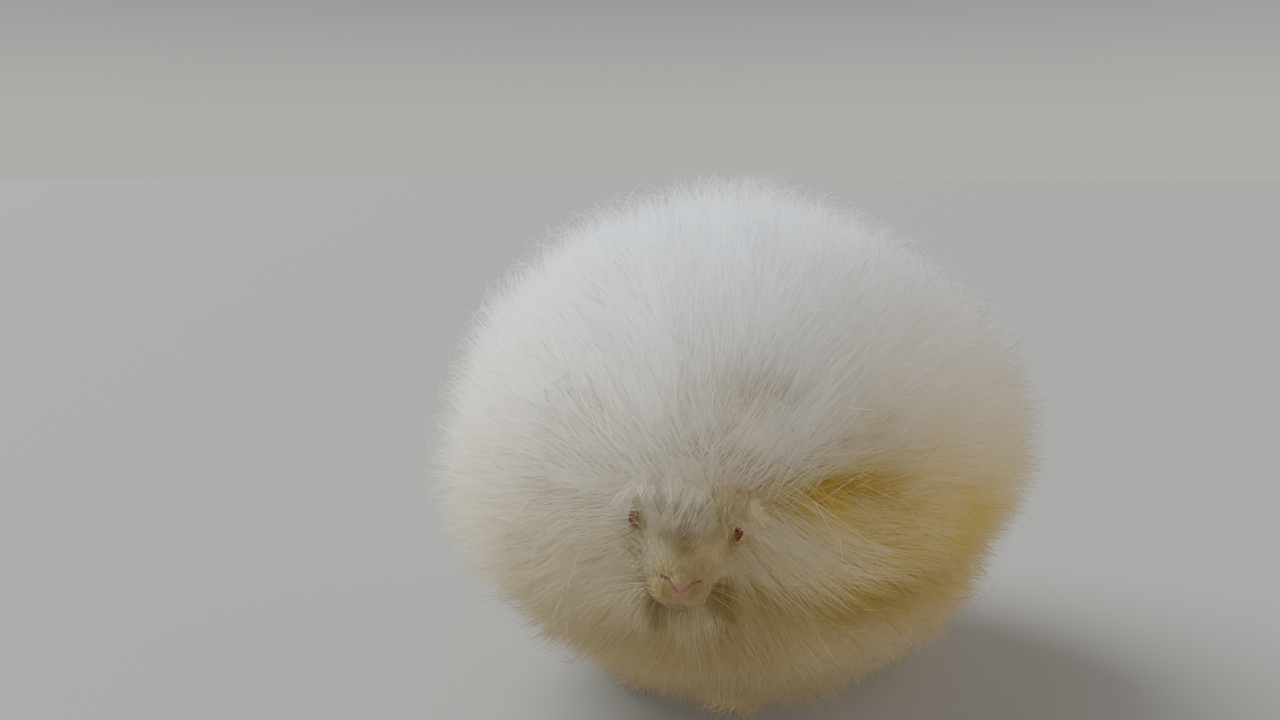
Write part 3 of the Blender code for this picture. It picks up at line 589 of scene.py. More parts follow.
def addSpot(tree, vector, place, radius, soft):  # 1 at a place, falling to 0 beyond its radius
    away = tree.nodes.new("ShaderNodeVectorMath")
    away.operation = "DISTANCE"
    feed(tree, away.inputs[0], vector)
    feed(tree, away.inputs[1], tuple(float(value) for value in place))
    return addRange(tree, away.outputs["Value"], radius + soft, radius, smooth=True)


woolColours = {
    # the bluish crown is painted sky light; the darker olive hem is painted shade with painted warm bounce
    # light, over wool that is partly cream
    "crown": (0.865, 0.920, 1.000, 1), "white": (0.935, 0.895, 0.820, 1), "cream": (0.850, 0.735, 0.500, 1),
    "hem": (0.690, 0.550, 0.300, 1),
    # the stain colour is the yellow of the left flank and of shaded folds: partly stain, partly painted warm
    # shade
    "root": (0.860, 0.770, 0.560, 1), "stainAndWarmShade": (0.730, 0.510, 0.045, 1), "shade": (0.300, 0.205, 0.045, 1),
    "heights": (0.330, 0.245, 0.150, 0.050),  # where the crown, white, cream and hem colours are reached
    "uneven": 0.08,           # how far those heights wander
    "single": 0.20,           # how much creamier single tufts are
    # the root colour, mixed in towards each tuft's root, is painted shade deep in the coat
    "rootShadeShare": 0.5, "rootShadePower": 1.5,
    "blotches": (2.4, -0.42),  # contrast and level of the yellow's patches
    # the shade colour is olive painted shade
    "shadeShare": 0.90,
}


def makeWoolGroup():
    # white wool, bluish at the crown and creamier down to the hem, with yellow over the left flank; the
    # bluish crown is painted sky light, and the darker olive hem is painted shade and painted warm bounce
    # light over wool that is partly cream
    inputs = (("Along", 1.0), ("Tint", 0.5), ("Shade", 0.0), ("Stain", 0.0))
    group, given, result = newGroup("woolColour", inputs, (("Colour", "NodeSocketColor"),))
    place = placeIn(group)
    apart = group.nodes.new("ShaderNodeSeparateXYZ")
    feed(group, apart.inputs[0], place)
    wander = woolColours["uneven"]
    height = addMath(group, "MULTIPLY_ADD", addNoise(group, place, 18.0, 3.0), wander, apart.outputs["Z"])
    colour = woolColours["crown"]
    levels = woolColours["heights"]
    for above, below, name in zip(levels[:-1], levels[1:], ("white", "cream", "hem")):
        band = addRange(group, height, above + wander / 2, below + wander / 2)
        colour = addMix(group, band, colour, woolColours[name])
    single = addMath(group, "MULTIPLY", given["Tint"], woolColours["single"])
    colour = addMix(group, single, colour, woolColours["cream"])
    # painted shade deep in the coat: more of the root colour towards each tuft's root
    deep = addMath(group, "SUBTRACT", 1.0, given["Along"], clamp=True)
    deep = addMath(group, "POWER", deep, woolColours["rootShadePower"])
    deep = addMath(group, "MULTIPLY", deep, woolColours["rootShadeShare"])
    colour = addMix(group, deep, colour, woolColours["root"])
    patchy = addNoise(group, place, 24.0, 4.0)
    patchy = addMath(group, "MULTIPLY_ADD", patchy, *woolColours["blotches"], clamp=True)
    # yellow in patches, partly stain and partly painted warm shade
    colour = addMix(group, addMath(group, "MULTIPLY", given["Stain"], patchy), colour, woolColours["stainAndWarmShade"])
    # olive painted shade, as strong as the shade value says
    dark = addMath(group, "MULTIPLY", given["Shade"], woolColours["shadeShare"])
    feed(group, result["Colour"], addMix(group, dark, colour, woolColours["shade"]))
    return group


def makeFibreGroup():
    # fine parallel fibres as a height, for wool too dense to model
    group, given, result = newGroup("fibreHeight", (("Scale", 900.0),), (("Height", "NodeSocketFloat"),))
    stretch = group.nodes.new("ShaderNodeMapping")
    stretch.inputs["Scale"].default_value = (1.0, 0.35, 0.5)
    feed(group, stretch.inputs["Vector"], placeIn(group))
    feed(group, result["Height"], addNoise(group, stretch.outputs["Vector"], given["Scale"], 3.0))
    return group


woolGroup = makeWoolGroup()
fibreGroup = makeFibreGroup()


def newMaterial(name, **sockets):
    material = bpy.data.materials.new(name)
    material.use_nodes = True
    shader = material.node_tree.nodes["Principled BSDF"].inputs
    for label, value in sockets.items():
        shader[label].default_value = value
    return material, material.node_tree, shader


def useGroup(tree, group, **links):
    node = tree.nodes.new("ShaderNodeGroup")
    node.node_tree = group
    for label, value in links.items():
        feed(tree, node.inputs[label], value)
    return node.outputs[0]


def attributeOf(tree, name):
    node = tree.nodes.new("ShaderNodeAttribute")
    node.attribute_name = name
    return node.outputs["Fac"]


def woolColour(tree, along, tint):
    return useGroup(tree, woolGroup, Along=along, Tint=tint, Shade=attributeOf(tree, "shade"),
                    Stain=attributeOf(tree, "stainAndWarmShade"))


def addFibres(tree, shader, scale, strength, distance):
    bump = tree.nodes.new("ShaderNodeBump")
    fibre = useGroup(tree, fibreGroup, Scale=scale)
    for label, value in (("Height", fibre), ("Strength", strength), ("Distance", distance)):
        feed(tree, bump.inputs[label], value)
    feed(tree, shader["Normal"], bump.outputs["Normal"])


def makeWoolMaterial(name, glow):  # the glow is painted light, an emission in the wool's own colour that stands in for the light real wool passes from hair to hair
    material, tree, shader = newMaterial(name, **{"Roughness": 0.85, "Specular IOR Level": 0.15,
                                                  "Sheen Weight": 0.25, "Sheen Roughness": 0.6})
    colour = woolColour(tree, attributeOf(tree, "along"), attributeOf(tree, "tint"))
    feed(tree, shader["Base Color"], colour)
    feed(tree, shader["Emission Color"], colour)
    shader["Emission Strength"].default_value = glow
    return material


def makeUnderwoolMaterial():
    material, tree, shader = newMaterial("underwoolFinish", **{"Roughness": 0.95, "Specular IOR Level": 0.05,
                                                               "Sheen Weight": 0.3})
    # along 0.55: the undercoat takes part of the painted root shade
    feed(tree, shader["Base Color"], woolColour(tree, 0.55, 0.5))
    addFibres(tree, shader, 420.0, 0.7, 0.002)
    return material


skinColours = {
    "pink": (0.700, 0.360, 0.300, 1), "nose": (0.580, 0.210, 0.170, 1), "dark": (0.160, 0.050, 0.038, 1),
}
skinRoughness = {"fur": 0.85, "bare": 0.42}


def makeSkinMaterial():
    # short white fur as bump, pink where it thins at the nose, lips, lids and in the ears
    material, tree, shader = newMaterial("skinFinish", **{"Specular IOR Level": 0.25, "Sheen Weight": 0.2})
    mottle = addNoise(tree, placeIn(tree), 160.0, 4.0)
    bare = attributeOf(tree, "bare")
    pink = addMix(tree, mottle, skinColours["nose"], skinColours["pink"])
    # along 0.75: the fur of the skin takes a little of the painted root shade
    colour = addMix(tree, bare, woolColour(tree, 0.75, mottle), pink)
    # painted shade along the mouth line, the split lip and the nostrils
    colour = addMix(tree, attributeOf(tree, "creaseShade"), colour, skinColours["dark"])
    feed(tree, shader["Base Color"], colour)
    rough = addRange(tree, bare, 0.0, 1.0, skinRoughness["fur"], skinRoughness["bare"])
    feed(tree, shader["Roughness"], rough)
    addFibres(tree, shader, 1500.0, 0.5, 0.0006)
    return material


eyeColours = {
    "iris": (0.300, 0.020, 0.028, 1), "rim": (0.160, 0.012, 0.018, 1), "pupil": (0.030, 0.002, 0.004, 1),
}


def makeEyeMaterial(side):
    # ruby iris with fine spokes round a darker pupil, under a wet clear coat
    centre, look, _ = eyeAt(side)
    front = centre + look * eye["radius"]
    material, tree, shader = newMaterial(f"eyeFinish{'Left' if side > 0 else 'Right'}", **{
        "Roughness": 0.12, "Coat Weight": 1.0, "Coat Roughness": 0.03, "IOR": 1.38})
    place = placeIn(tree)
    iris = addMix(tree, addNoise(tree, place, 1400.0, 3.0), eyeColours["rim"], eyeColours["iris"])
    colour = addMix(tree, addSpot(tree, place, front, *eye["iris"]), eyeColours["rim"], iris)
    colour = addMix(tree, addSpot(tree, place, front, *eye["pupil"]), colour, eyeColours["pupil"])
    feed(tree, shader["Base Color"], colour)
    return material


clawColours = ((0.62, 0.46, 0.34, 1), (0.80, 0.68, 0.56, 1))


def makeClawMaterial():
    material, tree, shader = newMaterial("clawFinish", **{"Roughness": 0.35, "Specular IOR Level": 0.5})
    feed(tree, shader["Base Color"], addMix(tree, addNoise(tree, placeIn(tree), 700.0, 3.0), *clawColours))
    return material


# the glows are painted light, weaker on the face fur
woolFinish = makeWoolMaterial("woolFinish", 0.07)
faceFinish = makeWoolMaterial("faceFurFinish", 0.02)
underwoolFinish = makeUnderwoolMaterial()
skinFinish = makeSkinMaterial()
clawFinish = makeClawMaterial()
print("materials made")


# Skin: head, ears, body and feet as one closed form under the wool

skinSizes = {
    "headVoxel": 0.00105, "bodyVoxel": 0.0034, "footVoxel": 0.0016,
    "headSides": 56, "headRings": 34, "headEnd": 0.985,
    "earShare": 0.84,     # how far the ears reach at most, as a share of the way to the tips
    "earStart": 0.045,    # the ears lie behind this place, along the head
    "faceStart": 0.07,    # the mouth and the nose lie before this one
    "noseTip": (0.1068, 0.0, 0.0004), "noseSize": (0.0076, 0.0046, 0.0042),
    "lidPink": 0.7, "lidEdge": 0.0026, "earPink": 0.60,
    "body": (             # centre and radii of the flesh under the wool
        ((0.000, 0.062, 0.092), (0.074, 0.092, 0.078)),
        ((0.002, -0.030, 0.100), (0.058, 0.088, 0.066)),
        ((0.012, -0.092, 0.140), (0.036, 0.048, 0.040)),
    ),
}
faceLines = {  # how deep and wide each is pressed in, how pink, and how dark the painted shade in its crease is
    "mouth": {
        "line": ((0.1060, 0.0, -0.0135), (0.1010, 0.0075, -0.0152), (0.0900, 0.0140, -0.0145),
                 (0.0780, 0.0190, -0.0120)),
        "press": (0.0032, 0.0014), "pink": (0.75, 0.0016), "dark": (1.0, 0.0016),
    },
    "cleft": {
        "line": ((0.1095, 0.0, 0.0005), (0.1078, 0.0, -0.0060), (0.1060, 0.0, -0.0135)),
        "press": (0.0018, 0.0010), "pink": (0.85, 0.0016), "dark": (0.70, 0.0008),
    },
    "nostril": {
        "line": ((0.1087, 0.0008, -0.0008), (0.1068, 0.0045, 0.0032), (0.1035, 0.0076, 0.0045),
                 (0.0990, 0.0108, 0.0044)),
        "press": (0.0026, 0.0010), "pink": (0.85, 0.0016), "dark": (1.0, 0.0010),
    },
}
faceLineWeights = (0.35, 1.0, 1.0)  # distances count less along the head
footProfile = (  # share of the foot's length, width and height
    (0.00, 0.45, 0.40), (0.05, 0.74, 0.70), (0.13, 0.92, 0.90), (0.28, 1.00, 1.00), (0.60, 0.92, 0.96),
    (0.82, 0.84, 0.88), (0.92, 0.70, 0.76), (0.975, 0.48, 0.56), (1.00, 0.22, 0.30),
)


def ringFaces(first, second, sides):
    turns = [(k, (k + 1) % sides) for k in range(sides)]
    return [(first + k, first + j, second + j, second + k) for k, j in turns]


def loftForm(rings, tips=(None, None)):
    rings = np.array(rings)
    count, sides = rings.shape[:2]
    vertices = list(rings.reshape(-1, 3))
    faces = []
    for i in range(count - 1):
        faces += ringFaces(i * sides, (i + 1) * sides, sides)
    for end, tip in enumerate(tips):
        start = end * (count - 1) * sides
        vertices.append(rings[end * (count - 1)].mean(0) if tip is None else tip)
        for k in range(sides):
            j = (k + 1) % sides
            pair = (start + k, start + j) if end else (start + j, start + k)
            faces.append((*pair, len(vertices) - 1))
    return vertices, faces


def ballForm(centre, radii, axes=np.eye(3), around=28, up=16):
    turns = np.arange(around) * math.tau / around
    rings = []
    for i in range(1, up):
        rise = math.pi * i / up - math.pi / 2
        local = np.stack((np.cos(turns) * math.cos(rise), np.sin(turns) * math.cos(rise),
                          np.full(around, math.sin(rise))), 1)
        rings.append(centre + (local * radii) @ axes)
    return loftForm(rings, [centre + (np.array((0, 0, z)) * radii) @ axes for z in (-1.0, 1.0)])


def headSurface(share, turn):
    table = np.array(head["sections"])
    width, height, depth = (np.interp(share, table[:, 0], table[:, k]) for k in (1, 2, 3))
    rise = np.where(np.sin(turn) > 0, height, depth)
    return headPoint(np.stack((share * head["length"], np.cos(turn) * width, np.sin(turn) * rise), -1))


def headForm():
    sides = skinSizes["headSides"]
    turns = np.arange(sides) * math.tau / sides
    shares = np.linspace(0.0, skinSizes["headEnd"], skinSizes["headRings"])
    rings = [headSurface(np.full(sides, share), turns) for share in shares]
    return loftForm(rings, (None, headPoint(head["tip"])))


def padForm(key, side=1):
    place, radii = head[key]
    return ballForm(headPoint(mirrored(place, side)), np.array(radii), headFrame)


def earFrame(side):
    length = unit(headVector(mirrored(ear["lean"], side)))
    hollow = unit(crossing(ahead + headFrame[1] * side * 0.25, length))
    return length, hollow, np.cross(length, hollow)


def earSpine(side, share):
    share = np.asarray(share, dtype=float)[..., None]
    root = headPoint(mirrored(ear["root"], side))
    return root + earFrame(side)[0] * ear["length"] * share - headFrame[2] * ear["droop"] * share ** 2


def earHalfWidth(share):  # a leaf, widest before its middle and rounded at the tip
    share = np.asarray(share, dtype=float)
    wide = np.sin(math.pi * np.minimum(share, 0.98) ** 0.85) ** 0.8
    half = ear["width"] / 2 * (0.52 + 0.95 * wide * 0.52)
    return half * np.where(share < 0.8, 1, np.sqrt(np.maximum(1.02 - share, 0.001) / 0.22))


def earCup(share):
    return earHalfWidth(share) * (ear["cup"][0] - ear["cup"][1] * share)


def earSurface(side, share, across, lift=0.0):  # a point of the cupped leaf, and its way out of the cup
    _, hollow, wide = earFrame(side)
    half, cup = earHalfWidth(share), earCup(share)
    point = earSpine(side, share) + wide * (half * across)[:, None]
    point += hollow * (cup * (across ** 2 - ear["cupFloor"]) + lift)[:, None]
    return point, unit(hollow - wide * (2 * across * cup / half)[:, None])


def earForm(side):
    across = np.linspace(-1, 1, 15)
    thick = ear["thickness"] / 2 * np.where(np.abs(across) < 0.9, 1.0, 0.6)  # thinner at the rims
    rings = []
    for share in np.linspace(0.0, 0.965, 22):
        front, back = (earSurface(side, np.full(15, share), across, lift)[0] for lift in (thick, -thick))
        rings.append(np.concatenate((front, back[::-1])))
    return loftForm(rings, (None, earSpine(side, 1.0)))


def lidForm(side):
    centre, look, level = eyeAt(side)
    rise = np.cross(look, level) * side
    rise = rise if rise @ headFrame[2] > 0 else -rise
    vertices, faces = [], []
    steps, sides = 36, 8
    for i in range(steps):
        turn = math.tau * i / steps
        spoke = level * math.cos(turn) * eye["lidWide"] + rise * math.sin(turn) * eye["lidHigh"]
        middle = centre + (look * eye["lidForward"] + spoke * eye["lidOut"]) * eye["radius"]
        for bend in np.arange(sides) * math.tau / sides:
            vertices.append(middle + (unit(spoke) * math.cos(bend) + look * math.sin(bend)) * eye["lid"])
        faces += ringFaces(i * sides, (i + 1) % steps * sides, sides)
    return vertices, faces


def toes(leg, side):  # where each of the four ends, the middle ones further forward
    return [(side * leg["side"] + k * leg["toe"] * 0.92, leg["front"] - (0.004 if abs(k) < 1 else 0.0005))
            for k in (-1.5, -0.5, 0.5, 1.5)]


def footForms(leg, side):
    turns = math.tau * (np.arange(20) + 0.5) / 20
    rise = np.clip(1.6 * np.sin(turns), -1, 1)  # flat above and below
    rings = []
    for share, wide, high in footProfile:
        x = side * leg["side"] + np.cos(turns) * leg["halfWidth"] * wide * 0.94
        y = np.full(20, leg["front"] + (leg["back"] - leg["front"]) * share)
        rings.append(np.stack((x, y, leg["top"] * high * 0.94 * (1 + rise) / 2 - 0.001), 1))
    forms = [loftForm(rings)]
    toeRadii = np.array((leg["toe"] * 0.53, 0.0130, leg["top"] * 0.34))
    for x, y in toes(leg, side):
        forms.append(ballForm(np.array((x, y + 0.008, leg["top"] * 0.32)), toeRadii, around=16, up=10))
    upper = np.array((side * leg["side"] * 0.96, *leg["upperCentre"]))
    forms.append(ballForm(upper, np.array(leg["upperRadii"]) * 0.96))
    return forms


def joinForms(forms):
    vertices, faces = [], []
    for points, sides in forms:
        first = len(vertices)
        vertices += list(points)
        faces += [tuple(first + i for i in face) for face in sides]
    return vertices, faces


def meltForms(name, forms, voxel, rounds):  # several closed forms into one smooth skin
    obj = formObject(name, *joinForms(forms))
    remesh = obj.modifiers.new("melt", "REMESH")
    remesh.mode = "VOXEL"
    remesh.voxel_size = voxel
    smooth = obj.modifiers.new("smooth", "SMOOTH")
    smooth.factor = 0.5
    smooth.iterations = rounds
    applyModifiers(obj)
    return obj


def besideLine(half, key):  # distance to a line of the face
    line = [np.array(place) * faceLineWeights for place in faceLines[key]["line"]]
    return distanceToLine(half * faceLineWeights, line)


def carveFace(mesh):
    # the line of the mouth, the split lip and the nostrils pressed in
    points, normals = readPoints(mesh)
    half = halfFace(points)
    press = np.zeros(len(points))
    for key, values in faceLines.items():
        deep, width = values["press"]
        press += deep * fallOff(besideLine(half, key), width)
    writePoints(mesh, points - normals * np.where(half[:, 0] > skinSizes["faceStart"], press, 0)[:, None])


def tuckEars(mesh):
    # the ears stay under the wool's tips
    points, _ = readPoints(mesh)
    away = points - coatCentre
    most = coatReach(unit(away)) * skinSizes["earShare"]
    ears = inHead(points)[:, 0] < skinSizes["earStart"]
    points[ears] = outTo(away, np.minimum(1, most / np.linalg.norm(away, axis=1)))[ears]
    writePoints(mesh, points)


def makeSkin():
    headPieces = [headForm(), padForm("nosePad"), padForm("chinPad")]
    feetPieces = []
    for side in (1, -1):
        headPieces += [padForm(key, side) for key in ("whiskerPad", "cheekPad", "browPad")]
        headPieces += [lidForm(side), earForm(side)]
    for leg in (foreleg, hindleg):
        for side in (1, -1):
            feetPieces += footForms(leg, side)
    bodyPieces = [ballForm(np.array(centre), np.array(radii)) for centre, radii in skinSizes["body"]]
    skin = meltForms("skin", headPieces, skinSizes["headVoxel"], 3)
    carveFace(skin.data)
    tuckEars(skin.data)
    body = meltForms("bodyFlesh", bodyPieces, skinSizes["bodyVoxel"], 4)
    feet = meltForms("feetFlesh", feetPieces, skinSizes["footVoxel"], 2)
    points, _ = readPoints(feet.data)
    points[:, 2] = np.maximum(points[:, 2], 0.0)
    writePoints(feet.data, points)
    parts = bpy.data.collections.new("flesh")
    join = skin.modifiers.new("join", "BOOLEAN")
    join.operation = "UNION"
    join.operand_type = "COLLECTION"
    join.collection = parts
    join.solver = "MANIFOLD"
    for part in (body, feet):
        parts.objects.link(part)
    applyModifiers(skin)
    for part in (body, feet):
        bpy.data.objects.remove(part)
    bpy.data.collections.remove(parts)
    paintSkin(skin.data)
    giveFinish(skin.data, skinFinish)
    rideBody(skin)
    return skin


def paintSkin(mesh):
    # bare: how much pink skin shows; the crease shade: how dark the painted shade along a line of the face is
    points, _ = readPoints(mesh)
    half = halfFace(points)
    front = half[:, 0] > skinSizes["faceStart"]
    bare = np.exp(-np.linalg.norm((half - skinSizes["noseTip"]) / skinSizes["noseSize"], axis=1) ** 4)
    creaseShade = np.zeros(len(points))
    for key, values in faceLines.items():
        beside = besideLine(half, key)
        bare = np.maximum(bare, values["pink"][0] * fallOff(beside, values["pink"][1]))
        creaseShade = np.maximum(creaseShade, values["dark"][0] * fallOff(beside, values["dark"][1]))
    bare = bare * front
    for side in (1, -1):
        away = np.linalg.norm(points - eyeAt(side)[0], axis=1) - eye["radius"]
        bare = np.maximum(bare, skinSizes["lidPink"] * np.clip(1 - away / skinSizes["lidEdge"], 0, 1))
        length, hollow, wide = earFrame(side)
        along = (points - headPoint(mirrored(ear["root"], side))) @ length
        share = np.clip(along / ear["length"], 0, 1)
        fromSpine = points - earSpine(side, share)
        across = fromSpine @ wide / earHalfWidth(share)
        inner = fromSpine @ hollow - earCup(share) * (across ** 2 - ear["cupFloor"])
        inside = (inner > 0) & (along > 0.016) & (np.abs(across) < 1.05)
        bare = np.maximum(bare, inside * skinSizes["earPink"] * np.clip(1.1 - across ** 4, 0, 1))
    addValues(mesh, "bare", bare)
    addValues(mesh, "creaseShade", creaseShade * front)
    addPaintedShadeAndYellow(mesh, points)


skin = makeSkin()
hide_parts("head", "neck", "torso", "tail", "ear_left", "ear_right",
            "foreleg_left", "foreleg_right", "hindleg_left", "hindleg_right")
print("skin made, triangles about", len(skin.data.polygons) * 2)


# Eyes: a ball with a raised clear front

def makeEye(name, side, node):
    centre, look, level = eyeAt(side)
    vertices, faces = ballForm(np.zeros(3), np.full(3, eye["radius"]), around=40, up=28)
    vertices = np.array(vertices)
    rise = np.clip((unit(vertices)[:, 2] - eye["cornea"]) / (1 - eye["cornea"]), 0, 1)
    vertices *= (1 + eye["bulge"] * rise ** 0.8)[:, None]
    obj = formObject(name, centre + vertices @ np.array((level, np.cross(look, level), look)), faces)
    giveFinish(obj.data, makeEyeMaterial(side))
    rideBody(obj)
    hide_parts(node)


makeEye("eyeBallLeft", 1, "eye_left")
makeEye("eyeBallRight", -1, "eye_right")


# Claws: four on each foot

claw = {
    "length": 0.0085, "width": 0.0022, "start": (-0.002, 0.34),  # before the toe, and up it
    "arch": 0.0012, "droop": (0.0042, 0.0046), "overFloor": 0.0005,
}


def clawForm(start, sides=8):
    turns = np.arange(sides) * math.tau / sides
    droop, tipDroop = claw["droop"]
    rings = []
    for t in np.linspace(0, 0.9, 6):
        rise = claw["arch"] * math.sin(math.pi * t) - droop * t ** 2
        size = claw["width"] / 2 * (1 - t) ** 0.6
        ring = np.stack((np.cos(turns) * size * 0.8, np.zeros(sides), np.sin(turns) * size), 1)
        rings.append(start + np.array((0, -claw["length"] * t, rise)) + ring)
    return loftForm(rings, (None, start + np.array((0, -claw["length"], -tipDroop))))


def makeClaws():
    forward, up = claw["start"]
    places = [(x, y + forward, leg["top"] * up)
              for leg in (foreleg, hindleg) for side in (1, -1) for x, y in toes(leg, side)]
    vertices, faces = joinForms([clawForm(np.array(place)) for place in places])
    vertices = np.array(vertices)
    vertices[:, 2] = np.maximum(vertices[:, 2], claw["overFloor"])
    obj = formObject("claws", vertices, faces)
    turnFacesOut(obj.data)
    giveFinish(obj.data, clawFinish)
    rideBody(obj)


makeClaws()
print("eyes and claws made")


# Undercoat mesh, opened out as a square grid so that its map is the ball's own unwrap

def makeUnderwool():
    rng = np.random.default_rng(seed + 1)
    n = underwool["grid"]
    steps = np.linspace(0, 1, n + 1)
    u, v = (values.ravel() for values in np.meshgrid(steps, steps, indexing="ij"))
    directions = chartBack(u, v)
    reach = underReach(directions)
    points = outTo(directions, reach)
    broad, fine = (waveField(rng, size)(points) for size in underwool["rippleSizes"])
    high, low = underwool["ripples"]
    points = outTo(directions, reach + broad[:, 0] * high + fine[:, 1] * low)
    points[:, 2] = np.maximum(points[:, 2], coat["floor"] + underwool["overFloor"])
    index = np.arange((n + 1) ** 2).reshape(n + 1, n + 1)
    faces = np.stack((index[:-1, :-1], index[1:, :-1], index[1:, 1:], index[:-1, 1:]), -1).reshape(-1, 4)
    obj = linkPiece("underwool", points, faces, underwoolFinish)
    addBakeMap(obj.data, onChart("ball", u, v)[faces])
    turnFacesOut(obj.data, merge=0.00001)
    addPaintedShadeAndYellow(obj.data, readPoints(obj.data)[0])
    rideBody(obj)


makeUnderwool()
print("undercoat made")


# Long wool of the body: each tip is set evenly over the ball, its root back along the lie of the coat

bodyWool = {
    "pieces": 5,
    "each": 18200,        # tufts in a piece
    "width": 0.00052,
    "lean": 0.20,         # how far a root lies behind its tip, as a share of the ball
    "swirl": 0.09,        # how much the lie wanders
    "stray": 0.13,        # how much that of single tufts does
    "rise": 0.62,         # how straight a tuft stands before it bends over
    "combedRise": 0.16,   # how much less where it is combed
    "tuftCount": 1700,    # centres that the tips gather round
    "gather": 0.16,
    "longest": 1.040,
    "shortest": 0.900,
    "waves": (0.110, 0.038, 0.070),  # size of the broad, fine and swelling ones
    "swell": 0.018, "ruffle": 0.008,  # how much these change the length
    "fromFace": 0.026,    # roots keep this far from the middle of the face
    "lowest": -0.93,      # no wool points further down
    "combed": (  # where it lies flatter, as if combed back: line, width and how much more it leans
        (((0.0986, -0.2132, 0.1500), (0.1222, -0.2012, 0.1540), (0.1565, -0.1717, 0.1530),
          (0.1806, -0.1130, 0.1471)), 0.034, 1.5),
        (rightCheekLine, 0.020, 1.2),
        (earLockLine, 0.022, 0.9),
    ),
}
eyeWell = {"aims": ((0.80, 0.55, 0.22), (0.86, 0.16, 0.44)), "reach": 0.075, "radius": 0.0092, "left": 0.07}


def clearOfEyes(roots, tips, rng):
    # the wool parts in front of each eye, so that a small hollow shows there
    keep = np.ones(len(roots), dtype=bool)
    for side in (1, -1):
        start = eyeAt(side)[0]
        for aim in eyeWell["aims"]:
            end = start + unit(headVector(mirrored(aim, side))) * eyeWell["reach"]
            for share in (0.5, 0.8, 1.0):
                away = distanceToLine(roots + (tips - roots) * share, (start, end))
                keep &= away > eyeWell["radius"]
    return keep | (rng.uniform(size=len(roots)) < eyeWell["left"])


def bodyAims(rng, count):  # where the tips stand, with the opening of the face left out
    aims = evenDirections(int(count * 1.12))
    aims = unit(aims + rng.normal(size=aims.shape) * 0.030)
    local = inHead(outTo(aims, coatReach(aims)))
    opening = 0.0145 + 0.04 * np.maximum(0, local[:, 0] - 0.05)
    keep = ~((local[:, 0] > 0.02) & (offAxis(local) < opening)) & (aims[:, 2] > bodyWool["lowest"])
    aims = aims[keep]
    rng.shuffle(aims)
    return aims[:count]


def makeBodyWool():
    rng = np.random.default_rng(seed + 2)
    broad, fine, swell = (waveField(rng, size) for size in bodyWool["waves"])
    centres = evenDirections(bodyWool["tuftCount"])
    centres = unit(centres + rng.normal(size=centres.shape) * 0.050)
    centres = outTo(centres, coatReach(centres) * rng.uniform(0.955, 1.02, len(centres)))
    aims = bodyAims(rng, bodyWool["pieces"] * bodyWool["each"])
    count = len(aims)
    reach = coatReach(aims)
    ends = outTo(aims, reach)

    lie = lieOfCoat(ends) + (broad(ends) * 0.6 + fine(ends) * 0.4) * bodyWool["swirl"] * 4
    lie = crossing(lie, aims) + rng.normal(size=lie.shape) * bodyWool["stray"]
    flat = np.zeros(count)
    for line, width, extra in bodyWool["combed"]:
        flat = np.maximum(flat, extra * nearLine(ends, line, width))
    lean = bodyWool["lean"] * (1 + flat) * rng.uniform(0.6, 1.3, count)
    room = np.linalg.norm(ends - faceMiddle, axis=1) - bodyWool["fromFace"]
    lean = np.minimum(lean, np.maximum(room, 0.004) / reach)
    starts = unit(aims - lie * lean[:, None])
    roots = openTo(outTo(starts, underReach(starts) * rng.uniform(0.86, 0.97, count)), 0.014)

    height = bodyWool["shortest"] + (bodyWool["longest"] - bodyWool["shortest"]) * rng.beta(2.0, 1.7, count)
    height *= 1 + bodyWool["swell"] * swell(ends)[:, 0] + bodyWool["ruffle"] * fine(ends)[:, 1]
    tips = outTo(aims, reach * height + foldHeight(ends))
    tips = openTo(clumped(tips, centres, bodyWool["gather"] * rng.uniform(0.3, 1.3, count)))
    tips[:, 2] = np.maximum(tips[:, 2], rng.uniform(0.002, 0.010, count))
    rise = np.linalg.norm(tips - roots, axis=1) * (bodyWool["rise"] - bodyWool["combedRise"] * flat)
    bends = openTo(roots + starts * rise[:, None] + rng.normal(size=roots.shape) * 0.003, 0.008)
    widths = unevenWidths(rng, bodyWool["width"], count, 0.6, 1.4)
    keep = np.flatnonzero(clearOfEyes(roots, tips, rng))
    chart = ballChart(starts)
    for i, part in enumerate(np.array_split(keep, bodyWool["pieces"])):
        growTufts(rng, f"bodyWool{i + 1}", "wool", woolFinish, (roots, bends, tips), widths, chart, aims,
                  0.90, keep=part)
    print("body wool made,", len(keep), "tufts")


makeBodyWool()


# Face wool: short on the muzzle, longer on the cheeks, chin and crown, swept away from the nose

fourRings = ((0.0, 0.8), (0.3, 1.0), (0.6, 0.85), (0.85, 0.5))


def keepOffEyes(roots, tips, margin):
    # how far clear of the eyes a tuft stays; those over an eye are dropped
    keep = np.ones(len(roots), dtype=bool)
    for side in (1, -1):
        centre, look, _ = eyeAt(side)
        centre = centre + look * eye["radius"] * 0.6
        for share in (0.0, 0.5, 1.0):
            away = np.linalg.norm(roots + (tips - roots) * share - centre, axis=1)
            keep &= away > eye["radius"] + margin
    return keep


def rootsOnHead(rng, wool):
    share = rng.uniform(*wool["shares"], wool["count"])
    turn = rng.uniform(*np.radians(wool["turns"]), wool["count"])
    outward = unit(headVector(np.stack((np.full(wool["count"], 0.15), np.cos(turn), np.sin(turn)), 1)))
    return share, turn, headSurface(share, turn), outward


def growOnHead(rng, name, wool, tufts, share, turn, outward, keep=slice(None)):
    roots, bends, tips = tufts
    widths = unevenWidths(rng, wool["width"], len(roots))
    growTufts(rng, name, "face_fur", wool["finish"], (roots - outward * wool["under"], bends, tips), widths,
              headChart(share, turn), unit(outward + ahead * wool["facing"]), wool["soften"], wool["shape"],
              keep=keep)


